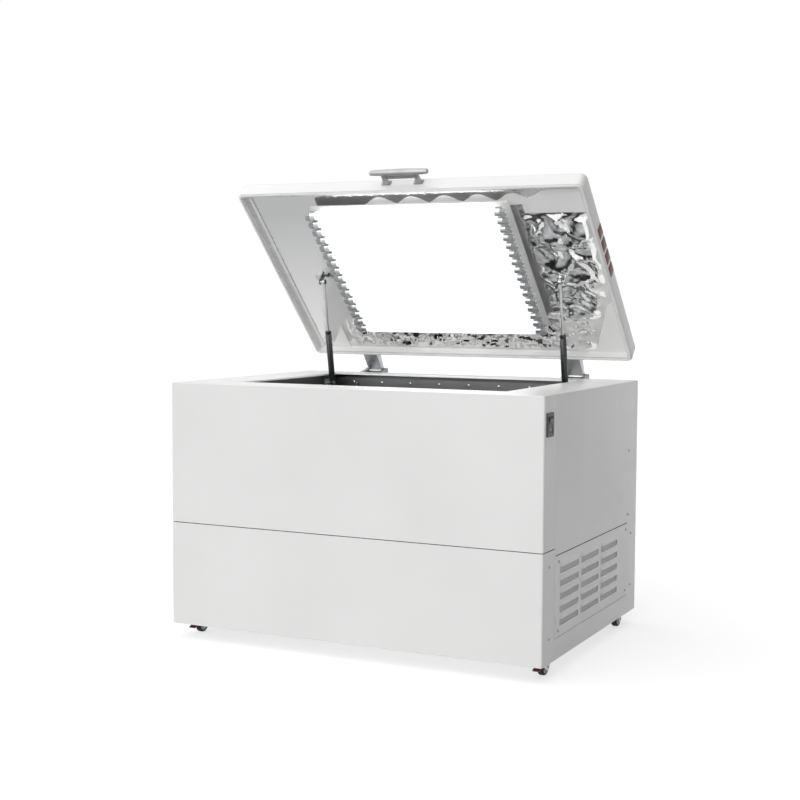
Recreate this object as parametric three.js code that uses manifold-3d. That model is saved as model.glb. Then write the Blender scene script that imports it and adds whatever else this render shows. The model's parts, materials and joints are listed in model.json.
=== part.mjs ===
// Floor-standing incubated shaker: an insulated chest on castors with a gas-strut lid,
// a bank of lamps inside the lid and an orbiting platform in the chamber.
// Millimetres, +Z up, front towards -Y. The lid stands open, as it is held by its struts.

import * as THREE from 'three';
import { mergeVertices } from 'three/addons/utils/BufferGeometryUtils.js';
import Module from 'manifold-3d';

const wasm = await Module();
wasm.setup();

// Driving sizes of the whole shaker
const cabinet = {
  width: 1100,
  depth: 780,
  height: 675,
  floorGap: 42,
  sheet: 2,
  seamHeight: 286,
  seamGap: 2,
  frontReturn: 84,
  panelGap: 1,
};
const fit = { gap: 0.3, run: 0.4, overrun: 3 };
const mouth = { width: 800, frontRim: 118, rearRim: 90, flange: 14 };
const chamber = { base: 335, sheet: 1.5, duct: 54, foam: 48, rearFoam: 16 };
const lid = { width: 1064, length: 680, thickness: 45, rearInset: 12, seat: 4, openAngle: 45 };
const sheetLid = { wall: 2, lip: 12, corner: 18, innerCorner: 8, tray: 20, liner: 1.5 };
const hinge = {
  spacing: 680,
  back: 62,
  rise: 2,
  pin: 5,
  knuckle: 9,
  leafWidth: 74,
  ear: 12.3,
  leaf: 4,
  height: 34,
  baseHeight: 48,
  cornerShare: 0.7,
};

// Levels and edges that every piece takes its place from
const halfWidth = cabinet.width / 2;
const halfDepth = cabinet.depth / 2;
const bottom = cabinet.floorGap;
const top = bottom + cabinet.height;
const deckUnder = top - cabinet.sheet;
const sideInner = halfWidth - cabinet.sheet;
const mouthHalf = mouth.width / 2;
const mouthFront = mouth.frontRim - halfDepth;
const mouthRear = halfDepth - mouth.rearRim;
const linerHalf = mouthHalf + cabinet.sheet + fit.gap;
const linerFront = mouthFront - cabinet.sheet - fit.gap;
const coverFace = mouthRear + cabinet.sheet + fit.gap;
const ductFront = coverFace + chamber.sheet + fit.gap;
const linerRear = ductFront + chamber.duct;
const floorTop = bottom + chamber.base;
const foamBottom = floorTop - chamber.sheet - fit.gap - chamber.foam;
const shaftY = (linerFront + coverFace) / 2;
const hingeY = halfDepth + hinge.back;
const hingeZ = top + hinge.rise;
const lidRear = halfDepth - lid.rearInset;
const lidUnder = top + lid.seat;
const originShift = (halfDepth - hingeY - hinge.knuckle) / 2;

// The closed lid's edges, counted from the hinge axis
const rear = lidRear - hingeY;
const front = rear - lid.length;
const under = lidUnder - hingeZ;
const over = under + lid.thickness;
const lidHalf = lid.width / 2;
const trayCeiling = under + sheetLid.tray;

// Gas struts: a cylinder on a pin in the chamber wall, a rod up to a stud under the lid
const strut = {
  inset: 18,
  footY: 232,
  footDrop: 28,
  studU: 320,
  studDrop: 17,
  cylinder: 9.5,
  bore: 5,
  rod: 4,
  cylinderShare: 0.52,
  eye: 8,
  eyeHalf: 5,
  pin: 4,
  side: 0.6,
  bracket: 3,
  bracketHalf: 12,
  engaged: 12,
  neckShare: 1.5,
};
const strutX = mouthHalf - strut.inset;
const footZ = top - strut.footDrop;
const swing = THREE.MathUtils.degToRad(lid.openAngle);
const studY = rear - strut.studU;
const studZ = trayCeiling - strut.studDrop;
const studOpen = {
  y: hingeY + studY * Math.cos(swing) + studZ * Math.sin(swing),
  z: hingeZ - studY * Math.sin(swing) + studZ * Math.cos(swing),
};
const strutLength = Math.hypot(studOpen.y - strut.footY, studOpen.z - footZ);
const strutTilt = Math.atan2(strut.footY - studOpen.y, studOpen.z - footZ);
const closedLength = Math.hypot(hingeY + studY - strut.footY, hingeZ + studZ - footZ);
const cylinderLength = strutLength * strut.cylinderShare;
const stroke = strutLength - closedLength;

const shaker = new THREE.Group();
shaker.position.y = originShift;

const finishes = {
  enamel: { color: 0xe9eaea, roughness: 0.35, metalness: 0.0 },
  stainless: { color: 0x8d9092, roughness: 0.3, metalness: 0.9 },
  mirror: { color: 0xc9cccd, roughness: 0.08, metalness: 1.0 },
  foam: { color: 0xe8dfb8, roughness: 0.9, metalness: 0.0 },
  rubber: { color: 0xb9bbbc, roughness: 0.8, metalness: 0.0 },
  blackPlastic: { color: 0x17181a, roughness: 0.45, metalness: 0.0 },
  greyPlastic: { color: 0xb4b7b9, roughness: 0.5, metalness: 0.0 },
  whitePlastic: { color: 0xf1f2f1, roughness: 0.45, metalness: 0.0 },
  redPlastic: { color: 0x5a1f1d, roughness: 0.5, metalness: 0.0 },
  steel: { color: 0x9a9ea1, roughness: 0.4, metalness: 0.9 },
  blackSteel: { color: 0x202224, roughness: 0.4, metalness: 0.4 },
  chrome: { color: 0xd5d8da, roughness: 0.12, metalness: 1.0 },
  aluminium: { color: 0xb9bdc0, roughness: 0.4, metalness: 0.9 },
  iron: { color: 0x53585b, roughness: 0.7, metalness: 0.5 },
  lampGlass: { color: 0xffffff, roughness: 0.2, metalness: 0.0 },
  screen: { color: 0x0d1a1f, roughness: 0.15, metalness: 0.0 },
  belt: { color: 0x1b1b1b, roughness: 0.85, metalness: 0.0 },
};

// Only the corner points matter when pieces are joined, cut or grouped.
function bare(geometry) {
  const points = geometry.index ? geometry.toNonIndexed() : geometry.clone();
  points.deleteAttribute('normal');
  points.deleteAttribute('uv');
  return points;
}

function toSolid(geometry) {
  const welded = mergeVertices(bare(geometry));
  const vertProperties = welded.attributes.position.array;
  const triVerts = new Uint32Array(welded.index.array);
  return new wasm.Manifold(new wasm.Mesh({ numProp: 3, vertProperties, triVerts }));
}

function toGeometry(solid) {
  const mesh = solid.getMesh();
  const geometry = new THREE.BufferGeometry();
  geometry.setAttribute('position', new THREE.BufferAttribute(mesh.vertProperties, 3));
  geometry.setIndex(new THREE.BufferAttribute(mesh.triVerts, 1));
  return geometry;
}

function join(...geometries) {
  return toGeometry(geometries.map(toSolid).reduce((whole, next) => whole.add(next)));
}

function cut(geometry, ...tools) {
  return toGeometry(tools.map(toSolid).reduce((whole, tool) => whole.subtract(tool), toSolid(geometry)));
}

function place(name, geometry, finish, parent = shaker) {
  const mesh = new THREE.Mesh(geometry, new THREE.MeshStandardMaterial(finishes[finish]));
  mesh.name = name;
  parent.add(mesh);
  return mesh;
}

function moved(geometry, x, y, z) {
  return geometry.clone().translate(x, y, z);
}

// A block between pairs of limits
function block([x0, x1], [y0, y1], [z0, z1]) {
  const geometry = new THREE.BoxGeometry(x1 - x0, y1 - y0, z1 - z0);
  return geometry.translate((x0 + x1) / 2, (y0 + y1) / 2, (z0 + z1) / 2);
}

// A round bar along Z between two heights
function bar(radius, low, high, sides) {
  const geometry = new THREE.CylinderGeometry(radius, radius, high - low, sides);
  return geometry.rotateX(Math.PI / 2).translate(0, 0, (low + high) / 2);
}

const alongX = (geometry) => geometry.rotateY(Math.PI / 2);
const alongY = (geometry) => geometry.rotateX(-Math.PI / 2);

// A bore that clears a turning pin even where its flats lie nearest the pin
const boreRadius = (pin, sides) => (pin + fit.run) / Math.cos(Math.PI / sides);

// A ring turned from a closed profile of [radius, height] points
function turned(points, sides) {
  const profile = points.map(([radius, height]) => new THREE.Vector2(radius, height));
  return new THREE.LatheGeometry(profile, sides).rotateX(Math.PI / 2);
}

function ring(inner, outer, low, high, sides) {
  return turned([[inner, low], [outer, low], [outer, high], [inner, high], [inner, low]], sides);
}

function prism(points, low, high) {
  const shape = new THREE.Shape(points.map(([x, y]) => new THREE.Vector2(x, y)));
  return new THREE.ExtrudeGeometry(shape, { depth: high - low, bevelEnabled: false }).translate(0, 0, low);
}

// A profile of [y, z] points drawn out along X
function railAlongX(points, x0, x1) {
  const turn = new THREE.Matrix4().makeBasis(
    new THREE.Vector3(0, 1, 0),
    new THREE.Vector3(0, 0, 1),
    new THREE.Vector3(1, 0, 0),
  );
  return prism(points, x0, x1).applyMatrix4(turn);
}

// A profile of [x, z] points drawn out along Y
function railAlongY(points, y0, y1) {
  return prism(points.map(([x, z]) => [x, -z]), y0, y1).rotateX(-Math.PI / 2);
}

function roundedPlate([x0, x1], [y0, y1], radius, low, high, steps = 3) {
  const shape = new THREE.Shape();
  shape.absarc(x1 - radius, y1 - radius, radius, 0, Math.PI / 2);
  shape.absarc(x0 + radius, y1 - radius, radius, Math.PI / 2, Math.PI);
  shape.absarc(x0 + radius, y0 + radius, radius, Math.PI, Math.PI * 1.5);
  shape.absarc(x1 - radius, y0 + radius, radius, Math.PI * 1.5, Math.PI * 2);
  const options = { depth: high - low, bevelEnabled: false, curveSegments: steps };
  return new THREE.ExtrudeGeometry(shape, options).translate(0, 0, low);
}

const sides = [-1, 1];
const sideNames = ['left', 'right'];
const spread = (count, length) => Array.from({ length: count }, (_, i) => (i / (count - 1) - 0.5) * length);

// Castors
const castor = {
  sideInset: 33,
  frontInset: 115,
  rearInset: 92,
  height: 72,
  wheelRadius: 22,
  wheelWidth: 19,
  wheelBore: 4,
  trail: 18,
  plate: 58,
  plateThickness: 3,
  race: 20,
  raceHeight: 4,
  crown: 18,
  kingpin: 6,
  crownThickness: 4,
  legGap: 12,
  legThickness: 2.5,
  legWidth: 15,
  axleOverhang: 2,
  hubRadius: 10,
  crownBackShare: 0.6,
  shoulderShare: 0.88,
  dishShare: 0.75,
};
const brake = { width: 20, length: 24, thickness: 3, boss: 4.5, pin: 2, drop: 9, reach: 27, rise: 9 };
const pedalY = castor.trail + brake.reach;
const pedalZ = castor.wheelRadius + brake.rise;
const castorSpots = [];
for (const [end, y] of [['front', castor.frontInset - halfDepth], ['rear', halfDepth - castor.rearInset]]) {
  for (const side of sides) {
    const name = `${end}_${side < 0 ? 'left' : 'right'}`;
    castorSpots.push({ name, x: side * (halfWidth - castor.sideInset), y, toward: end === 'front' ? -1 : 1 });
  }
}

function castorPlate() {
  const under = castor.height - castor.plateThickness;
  const half = castor.plate / 2;
  const plate = block([-half, half], [-half, half], [under, castor.height]);
  const raceLow = under - castor.raceHeight;
  const race = bar(castor.race, raceLow, under + castor.plateThickness / 2, 16);
  const kingpin = bar(castor.kingpin, raceLow - castor.crownThickness - fit.run * 2, under, 12);
  return join(plate, race, kingpin);
}

// The fork trails towards +Y before its swivel is turned; a braked one reaches on to the pedal's pin.
function castorFork(braked) {
  const crownTop = castor.height - castor.plateThickness - castor.raceHeight - fit.gap;
  const crownLow = crownTop - castor.crownThickness;
  const tail = castor.trail + castor.legWidth / 2;
  const legTop = castor.wheelRadius + castor.legWidth / 2;
  const ear = [
    [tail, castor.wheelRadius - castor.legWidth / 2],
    [pedalY + brake.boss, pedalZ - brake.boss / 2],
    [pedalY + brake.boss, pedalZ + brake.boss / 2],
    [tail, legTop + brake.boss],
  ];
  const heel = [[tail, castor.wheelRadius - castor.legWidth / 2], [tail, legTop]];
  const outline = [
    [-castor.crown * castor.crownBackShare, crownTop],
    [-castor.crown * castor.crownBackShare, crownLow],
    [castor.trail - castor.legWidth / 2, castor.wheelRadius - castor.legWidth / 2],
    ...(braked ? ear : heel),
    [castor.crown, crownTop],
  ];
  const span = castor.legGap + castor.legThickness;
  const legs = [railAlongX(outline, -span, -castor.legGap), railAlongX(outline, castor.legGap, span)];
  const crown = block([-span, span], [-castor.crown, castor.crown], [crownLow, crownTop]);
  const reachX = span + castor.axleOverhang;
  const axle = alongX(bar(castor.wheelBore, -reachX, reachX, 10));
  const hole = bar(boreRadius(castor.kingpin, 12), crownLow - fit.overrun, crownTop + fit.overrun, 12);
  const pieces = [crown, ...legs, axle.translate(0, castor.trail, castor.wheelRadius)];
  if (braked) pieces.push(alongX(bar(brake.pin, -span, span, 8)).translate(0, pedalY, pedalZ));
  return cut(join(...pieces), hole);
}

function castorWheel() {
  const steps = 16;
  const tread = castor.wheelRadius / Math.cos(Math.PI / steps);
  const half = castor.wheelWidth / 2;
  const bore = boreRadius(castor.wheelBore, steps);
  const shoulder = tread * castor.shoulderShare;
  const dish = half * castor.dishShare;
  const profile = [
    [bore, -half],
    [castor.hubRadius, -half],
    [castor.hubRadius, -dish],
    [shoulder, -half],
    [tread, -dish],
    [tread, dish],
    [shoulder, half],
    [castor.hubRadius, dish],
    [castor.hubRadius, half],
    [bore, half],
    [bore, -half],
  ];
  // Half a step of turn puts a flat of the tread on the floor.
  return turned(profile, steps).rotateZ(Math.PI / steps).rotateY(Math.PI / 2);
}

function brakePedal() {
  const half = brake.width / 2;
  const tip = -brake.drop - brake.thickness;
  const outline = [
    [0, brake.boss / 2],
    [0, -brake.boss / 2],
    [brake.length, tip],
    [brake.length, -brake.drop],
  ];
  const tread = railAlongX(outline, -half, half);
  const boss = alongX(bar(brake.boss, -half, half, 10));
  const hole = alongX(bar(boreRadius(brake.pin, 8), -half - fit.overrun, half + fit.overrun, 8));
  return cut(join(tread, boss), hole);
}

for (const { name, x, y, toward } of castorSpots) {
  const swivel = new THREE.Group();
  swivel.position.set(x, y, 0);
  swivel.rotation.z = toward < 0 ? Math.PI : 0;
  shaker.add(swivel);
  place(`castor_fork_${name}`, castorFork(toward < 0), 'steel', swivel);
  place(`castor_wheel_${name}`, castorWheel(), 'whitePlastic', swivel).position.set(
    0,
    castor.trail,
    castor.wheelRadius,
  );
  if (toward < 0) {
    const pedal = place(`castor_brake_${name}`, brakePedal(), 'redPlastic', swivel);
    pedal.position.set(0, pedalY, pedalZ);
  }
}

// Base pan with an upturned edge that the panels are fastened to
const base = { sheet: 2.5, flange: 25 };
const panBottom = castor.height - castor.plateThickness / 2;
const panTop = panBottom + base.sheet;
const panHalf = sideInner - fit.gap;
const panFront = cabinet.sheet + fit.gap - halfDepth;
const pan = cut(
  block([-panHalf, panHalf], [panFront, -panFront], [panBottom, panBottom + base.flange]),
  block(
    [base.sheet - panHalf, panHalf - base.sheet],
    [panFront + base.sheet, -panFront - base.sheet],
    [panTop, panBottom + base.flange + fit.overrun],
  ),
);
place('base_pan', join(pan, ...castorSpots.map(({ x, y }) => moved(castorPlate(), x, y, 0))), 'steel');

// Outer panels
const power = { y: 35, drop: 73, width: 48, height: 60, flange: 3, body: 26, bodyInset: 4, rim: 7 };
const vent = {
  inset: 7,
  rear: 690,
  low: 57,
  high: 266,
  overlap: 6,
  sheet: 1.5,
  rows: 5,
  columns: 3,
  slotHeight: 7,
  hood: 6,
  hoodHeight: 13,
  marginShare: 0.07,
  spareRowShare: 0.5,
  firstRowShare: 0.65,
};
const sideFront = cabinet.frontReturn + cabinet.panelGap - halfDepth;
const seam = bottom + cabinet.seamHeight;

// A sheet across the front, folded back along both sides of the cabinet
function frontPanel(low, high) {
  const back = cabinet.frontReturn - halfDepth;
  const inner = cabinet.sheet - halfDepth;
  const outline = [
    [-halfWidth, -halfDepth],
    [halfWidth, -halfDepth],
    [halfWidth, back],
    [sideInner, back],
    [sideInner, inner],
    [-sideInner, inner],
    [-sideInner, back],
    [-halfWidth, back],
  ];
  return prism(outline, low, high);
}

const powerY = power.y - halfDepth;
const powerZ = top - power.drop;
const powerHole = block(
  [sideInner - fit.overrun, halfWidth + fit.overrun],
  [powerY - power.width / 2 + power.bodyInset, powerY + power.width / 2 - power.bodyInset],
  [powerZ - power.height / 2 + power.bodyInset, powerZ + power.height / 2 - power.bodyInset],
);
const panelTop = deckUnder - fit.gap;
place('front_lower_panel', frontPanel(bottom, seam - cabinet.seamGap / 2), 'enamel');
place('front_upper_panel', cut(frontPanel(seam + cabinet.seamGap / 2, panelTop), powerHole), 'enamel');

const ventFront = sideFront + vent.inset;
const ventRear = vent.rear - halfDepth;
const ventLow = bottom + vent.low;
const ventHigh = bottom + vent.high;
const ventWindow = block(
  [sideInner - fit.overrun, halfWidth + fit.overrun],
  [ventFront + vent.overlap, ventRear - vent.overlap],
  [ventLow + vent.overlap, ventHigh - vent.overlap],
);
const sidePanel = (x0, x1) => block([x0, x1], [sideFront, halfDepth], [bottom, panelTop]);
place('left_side_panel', sidePanel(-halfWidth, -sideInner), 'enamel');
place('right_side_panel', cut(sidePanel(sideInner, halfWidth), ventWindow), 'enamel');

// Louvred vent in front of the condenser, lapped over its window
function ventPanel() {
  const plateIn = halfWidth + fit.gap;
  const plateOut = plateIn + vent.sheet;
  const length = ventRear - ventFront;
  const margin = length * vent.marginShare;
  const pitch = (ventHigh - ventLow) / (vent.rows + vent.spareRowShare);
  const cellLength = (length - margin) / vent.columns;
  const hoods = [];
  const slots = [];
  for (let row = 0; row < vent.rows; row += 1) {
    const z = ventLow + pitch * (row + vent.firstRowShare);
    for (let column = 0; column < vent.columns; column += 1) {
      const y0 = ventFront + margin + cellLength * column;
      const y1 = y0 + cellLength - margin;
      const through = [plateIn - fit.overrun, plateOut + fit.overrun];
      slots.push(block(through, [y0, y1], [z, z + vent.slotHeight]));
      const outline = [
        [plateIn + vent.sheet / 2, z + vent.hoodHeight],
        [plateOut, z + vent.slotHeight],
        [plateOut + vent.hood, z],
        [plateOut + vent.hood, z + vent.sheet],
        [plateOut, z + vent.hoodHeight],
      ];
      hoods.push(railAlongY(outline, y0, y1));
    }
  }
  const plate = block([plateIn, plateOut], [ventFront, ventRear], [ventLow, ventHigh]);
  return join(cut(plate, ...slots), ...hoods);
}
place('right_vent_panel', ventPanel(), 'enamel');

const inlet = {
  inset: 168,
  z: 92,
  width: 30,
  height: 24,
  flange: 52,
  flangeSheet: 3,
  body: 22,
  pocket: 17,
  wall: 4,
};
const inletZ = bottom + inlet.z;
const inletX = inlet.inset - sideInner;
const rearHalf = sideInner - fit.gap;
const rearSheet = block([-rearHalf, rearHalf], [halfDepth - cabinet.sheet, halfDepth], [bottom, panelTop]);
const inletHole = block(
  [inletX - inlet.width / 2 - fit.gap, inletX + inlet.width / 2 + fit.gap],
  [halfDepth - cabinet.sheet - fit.overrun, halfDepth + fit.overrun],
  [inletZ - inlet.height / 2 - fit.gap, inletZ + inlet.height / 2 + fit.gap],
);
place('rear_panel', cut(rearSheet, inletHole), 'enamel');

// Deck around the chamber mouth, with its edge folded down into the chamber
const deck = block([-halfWidth, halfWidth], [-halfDepth, halfDepth], [deckUnder, top]);
const deckFlange = block(
  [-mouthHalf - cabinet.sheet, mouthHalf + cabinet.sheet],
  [mouthFront - cabinet.sheet, mouthRear + cabinet.sheet],
  [top - mouth.flange, top - cabinet.sheet / 2],
);
const mouthCut = block(
  [-mouthHalf, mouthHalf],
  [mouthFront, mouthRear],
  [top - mouth.flange - fit.overrun, top + fit.overrun],
);
place('top_rim', cut(join(deck, deckFlange), mouthCut), 'enamel');

// Stainless tub, open at the top, and the foam around it
const shaft = { radius: 15, sides: 16, bottom: 104, crankRise: 22 };
const shaftHole = { tub: 26, foam: 34 };
const linerTop = deckUnder - fit.gap;
// Wall plate with a pin that the strut's foot turns on, welded to the tub
function strutFoot(side) {
  const outer = linerHalf + chamber.sheet / 2;
  const inner = linerHalf - strut.bracket;
  const half = strut.bracketHalf;
  const plate = block([inner, outer], [-half, half], [-half, half]);
  const pin = alongX(bar(strut.pin, strutX - strut.eyeHalf - strut.side, inner + strut.bracket / 2, 12));
  const piece = join(plate, pin);
  if (side < 0) piece.rotateZ(Math.PI);
  return piece.translate(0, strut.footY, footZ);
}
const tub = cut(
  block(
    [-linerHalf - chamber.sheet, linerHalf + chamber.sheet],
    [linerFront - chamber.sheet, linerRear + chamber.sheet],
    [floorTop - chamber.sheet, linerTop],
  ),
  block([-linerHalf, linerHalf], [linerFront, linerRear], [floorTop, linerTop + fit.overrun]),
  moved(bar(shaftHole.tub, floorTop - fit.overrun, floorTop + fit.overrun, 16), 0, shaftY, 0),
);
place('chamber_liner', join(tub, ...sides.map(strutFoot)), 'stainless');
const foamIn = chamber.sheet + fit.gap;
const foamOut = foamIn + chamber.foam;
place(
  'chamber_insulation',
  cut(
    block(
      [-linerHalf - foamOut, linerHalf + foamOut],
      [linerFront - foamOut, linerRear + foamIn + chamber.rearFoam],
      [foamBottom, linerTop],
    ),
    block(
      [-linerHalf - foamIn, linerHalf + foamIn],
      [linerFront - foamIn, linerRear + foamIn],
      [floorTop - foamIn, linerTop + fit.overrun],
    ),
    moved(bar(shaftHole.foam, foamBottom - fit.overrun, floorTop + fit.overrun, 16), 0, shaftY, 0),
  ),
  'foam',
);

// Air duct behind a flat cover at the rear of the chamber
const fan = {
  x: -210,
  z: 112,
  radius: 74,
  hub: 18,
  blades: 5,
  depth: 20,
  setback: 6,
  motor: 24,
  spindle: 4,
  tip: 3,
};
const duct = {
  slots: 9,
  slotWidth: 9,
  slotHeight: 46,
  slotPitch: 34,
  slotX: 150,
  slotRise: 34,
  grilleBars: 5,
  grilleGapShare: 0.68,
};
const coverTop = top - mouth.flange - fit.gap;
const fanZ = floorTop + fan.z;

function ductCover() {
  const thick = [coverFace, coverFace + chamber.sheet];
  const cutY = [thick[0] - fit.overrun, thick[1] + fit.overrun];
  const plate = block([fit.gap - linerHalf, linerHalf - fit.gap], thick, [floorTop + fit.gap, coverTop]);
  const slots = spread(duct.slots, duct.slotPitch * (duct.slots - 1)).map((x) => {
    const middle = duct.slotX + x;
    const low = floorTop + duct.slotRise;
    const acrossX = [middle - duct.slotWidth / 2, middle + duct.slotWidth / 2];
    return block(acrossX, cutY, [low, low + duct.slotHeight]);
  });
  const pitch = (fan.radius * 2) / duct.grilleBars;
  for (const z of spread(duct.grilleBars, pitch * (duct.grilleBars - 1))) {
    const reach = Math.sqrt(fan.radius ** 2 - (Math.abs(z) + pitch / duct.grilleBars) ** 2);
    const half = (pitch * duct.grilleGapShare) / 2;
    slots.push(block([fan.x - reach, fan.x + reach], cutY, [fanZ + z - half, fanZ + z + half]));
  }
  return cut(plate, ...slots);
}
place('rear_duct_cover', ductCover(), 'stainless');

// Paddle fan about Z, with pitched blades round a hub
function fanWheel(radius, hub, blades, depth, spindle) {
  const rootShare = 0.8;
  const paddleShare = 0.36;
  const sheetShare = 0.04;
  const pitchAngle = Math.PI / 5;
  const pieces = [bar(hub, 0, depth, 12)];
  for (let i = 0; i < blades; i += 1) {
    const half = (depth * paddleShare) / Math.sin(pitchAngle);
    const sheet = depth * sheetShare;
    const blade = block([hub * rootShare, radius], [-half, half], [-sheet, sheet]);
    blade.rotateX(pitchAngle).translate(0, 0, depth / 2).rotateZ((i / blades) * Math.PI * 2);
    pieces.push(blade);
  }
  return cut(join(...pieces), bar(boreRadius(spindle, 10), -fit.overrun, depth + fit.overrun, 10));
}

const fanY = ductFront + fan.setback;
const paddles = fanWheel(fan.radius - fan.tip, fan.hub, fan.blades, fan.depth, fan.spindle);
place('circulation_fan', alongY(paddles).translate(fan.x, fanY, fanZ), 'aluminium');
const fanMotorFront = fanY + fan.depth + fit.gap;
function fanMotor() {
  const can = bar(fan.motor, fanMotorFront, linerRear - fit.gap, 14);
  const spindle = bar(fan.spindle, fanY + fan.setback / 2, linerRear - fit.gap - fan.setback, 10);
  return alongY(join(can, spindle)).translate(fan.x, 0, fanZ);
}

const coil = { x0: -70, x1: 380, low: 24, height: 110, depth: 40, fins: 8, finShare: 0.3 };
function evaporator() {
  const y0 = linerRear - fit.gap - coil.depth;
  const y1 = linerRear - fit.gap;
  const low = floorTop + coil.low;
  const core = block([coil.x0, coil.x1], [y0 + coil.depth / 5, y1], [low, low + coil.height]);
  const length = coil.x1 - coil.x0;
  const fin = (length / coil.fins) * coil.finShare;
  const fins = spread(coil.fins, length - fin).map((x) => {
    const middle = (coil.x0 + coil.x1) / 2 + x;
    return block([middle - fin / 2, middle + fin / 2], [y0, y1], [low - fin, low + coil.height + fin]);
  });
  return join(core, ...fins);
}

const heater = { radius: 5, rods: 2, pitch: 26, rise: 22, bracket: 5 };
const heaterLow = floorTop + coil.low + coil.height + heater.rise;
function heaterRods() {
  const y = linerRear - coil.depth / 2;
  const rods = Array.from({ length: heater.rods }, (_, i) =>
    alongX(bar(heater.radius, coil.x0, coil.x1, 8)).translate(0, y, heaterLow + i * heater.pitch));
  const reach = heater.radius + heater.bracket;
  const brackets = [coil.x0, coil.x1 - heater.bracket * 2].map((x) => block(
    [x, x + heater.bracket * 2],
    [y - reach, linerRear - fit.gap],
    [heaterLow - reach, heaterLow + (heater.rods - 1) * heater.pitch + reach],
  ));
  return join(...rods, ...brackets);
}
const backplate = block(
  [fan.x - fan.motor, coil.x1],
  [linerRear - fit.gap - chamber.sheet, linerRear - fit.gap],
  [floorTop + fit.gap, heaterLow + heater.pitch],
);
place('duct_air_unit', join(backplate, fanMotor(), evaporator(), heaterRods()), 'aluminium');

const probe = {
  x: -330,
  radius: 3,
  length: 96,
  clip: 16,
  clipHeight: 12,
  clipFront: 4.8,
  standoff: 9,
  drop: 26,
  leanAngle: 12.6,
};
function temperatureProbe() {
  const clipTop = coverTop - probe.drop;
  const half = probe.clip / 2;
  const clip = block(
    [-half, half],
    [-probe.standoff - probe.clipFront, -fit.gap],
    [-probe.clipHeight, 0],
  );
  const stick = bar(probe.radius, -probe.length, probe.clipHeight, 8);
  stick.rotateY(THREE.MathUtils.degToRad(probe.leanAngle)).translate(0, -probe.standoff, 0);
  return join(clip, stick).translate(probe.x, coverFace, clipTop);
}
place('temperature_probe', temperatureProbe(), 'chrome');

// Shaking drive: a welded table on the base pan carries the tub, the motor and the main bearing
const table = { width: 700, depth: 420, plate: 6, leg: 30 };
const bearing = { radius: 44, flange: 66, flangeHeight: 10, low: 172 };
const tableTop = foamBottom - fit.gap;
const tableUnder = tableTop - table.plate;
const weld = table.plate / 2;
const tablePlate = cut(
  block(
    [-table.width / 2, table.width / 2],
    [shaftY - table.depth / 2, shaftY + table.depth / 2],
    [tableUnder, tableTop],
  ),
  moved(bar(shaftHole.tub, tableUnder - fit.overrun, tableTop + fit.overrun, 16), 0, shaftY, 0),
);
const legSpots = sides.flatMap((x) => sides.map((y) => [
  (x * (table.width - table.leg)) / 2,
  shaftY + (y * (table.depth - table.leg)) / 2,
]));
const legs = legSpots.map(([x, y]) => block(
  [x - table.leg / 2, x + table.leg / 2],
  [y - table.leg / 2, y + table.leg / 2],
  [panTop + fit.gap, tableUnder + weld],
));
const bearingBore = boreRadius(shaft.radius, shaft.sides);
const bearingTop = tableUnder - fit.gap;
const mainHousing = turned([
  [bearingBore, bearing.low],
  [bearing.radius, bearing.low],
  [bearing.radius, bearingTop - bearing.flangeHeight],
  [bearing.flange, bearingTop - bearing.flangeHeight],
  [bearing.flange, tableUnder + weld],
  [bearingBore, tableUnder + weld],
  [bearingBore, bearing.low],
], shaft.sides).translate(0, shaftY, 0);
place('drive_table', join(tablePlate, mainHousing, ...legs), 'iron');

const orbit = {
  throw: 13,
  disc: 34,
  discHeight: 12,
  pin: 9,
  pinSides: 12,
  idlerX: 230,
  journal: 10,
  housing: 29,
};
const pulley = {
  radius: 100,
  height: 24,
  low: 120,
  motorX: -230,
  motorRadius: 35,
  beltWidth: 16,
  belt: 4,
  arcSteps: 12,
};
const weight = { inner: 17, outer: 96, hub: 26, height: 12, rise: 4 };
const carrier = { width: 560, depth: 300, thickness: 12, lift: 2 };
const discLow = floorTop + shaft.crankRise;
const discTop = discLow + orbit.discHeight;
const carrierLow = discTop + carrier.lift;
const carrierTop = carrierLow + carrier.thickness;
const pinTop = carrierTop - fit.gap * 2;
const pulleyTop = pulley.low + pulley.height;

function crankHead(journal, journalLow, journalSides) {
  const pin = bar(orbit.pin, discTop - fit.overrun, pinTop, orbit.pinSides).translate(orbit.throw, 0, 0);
  return join(
    bar(journal, journalLow, discLow + fit.overrun, journalSides),
    bar(orbit.disc, discLow, discTop, 20),
    pin,
  );
}
place(
  'driven_pulley',
  turned([
    [shaft.radius + fit.gap, pulley.low],
    [pulley.radius, pulley.low],
    [pulley.radius, pulleyTop],
    [shaft.radius + fit.gap, pulleyTop],
    [shaft.radius + fit.gap, pulley.low],
  ], 30).translate(0, shaftY, 0),
  'aluminium',
);

// Balance weight opposite the crank pin, forged in one with the shaft
function counterweight() {
  const low = pulleyTop + weight.rise;
  const high = low + weight.height;
  const far = weight.outer + fit.overrun;
  const half = cut(
    ring(weight.inner, weight.outer, low, high, 24),
    block([0, far], [-far, far], [low - fit.overrun, high + fit.overrun]),
  );
  return join(half, bar(weight.hub, low, high, 16));
}
place(
  'crank_shaft',
  join(crankHead(shaft.radius, shaft.bottom, shaft.sides), counterweight()).translate(0, shaftY, 0),
  'steel',
);

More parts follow.
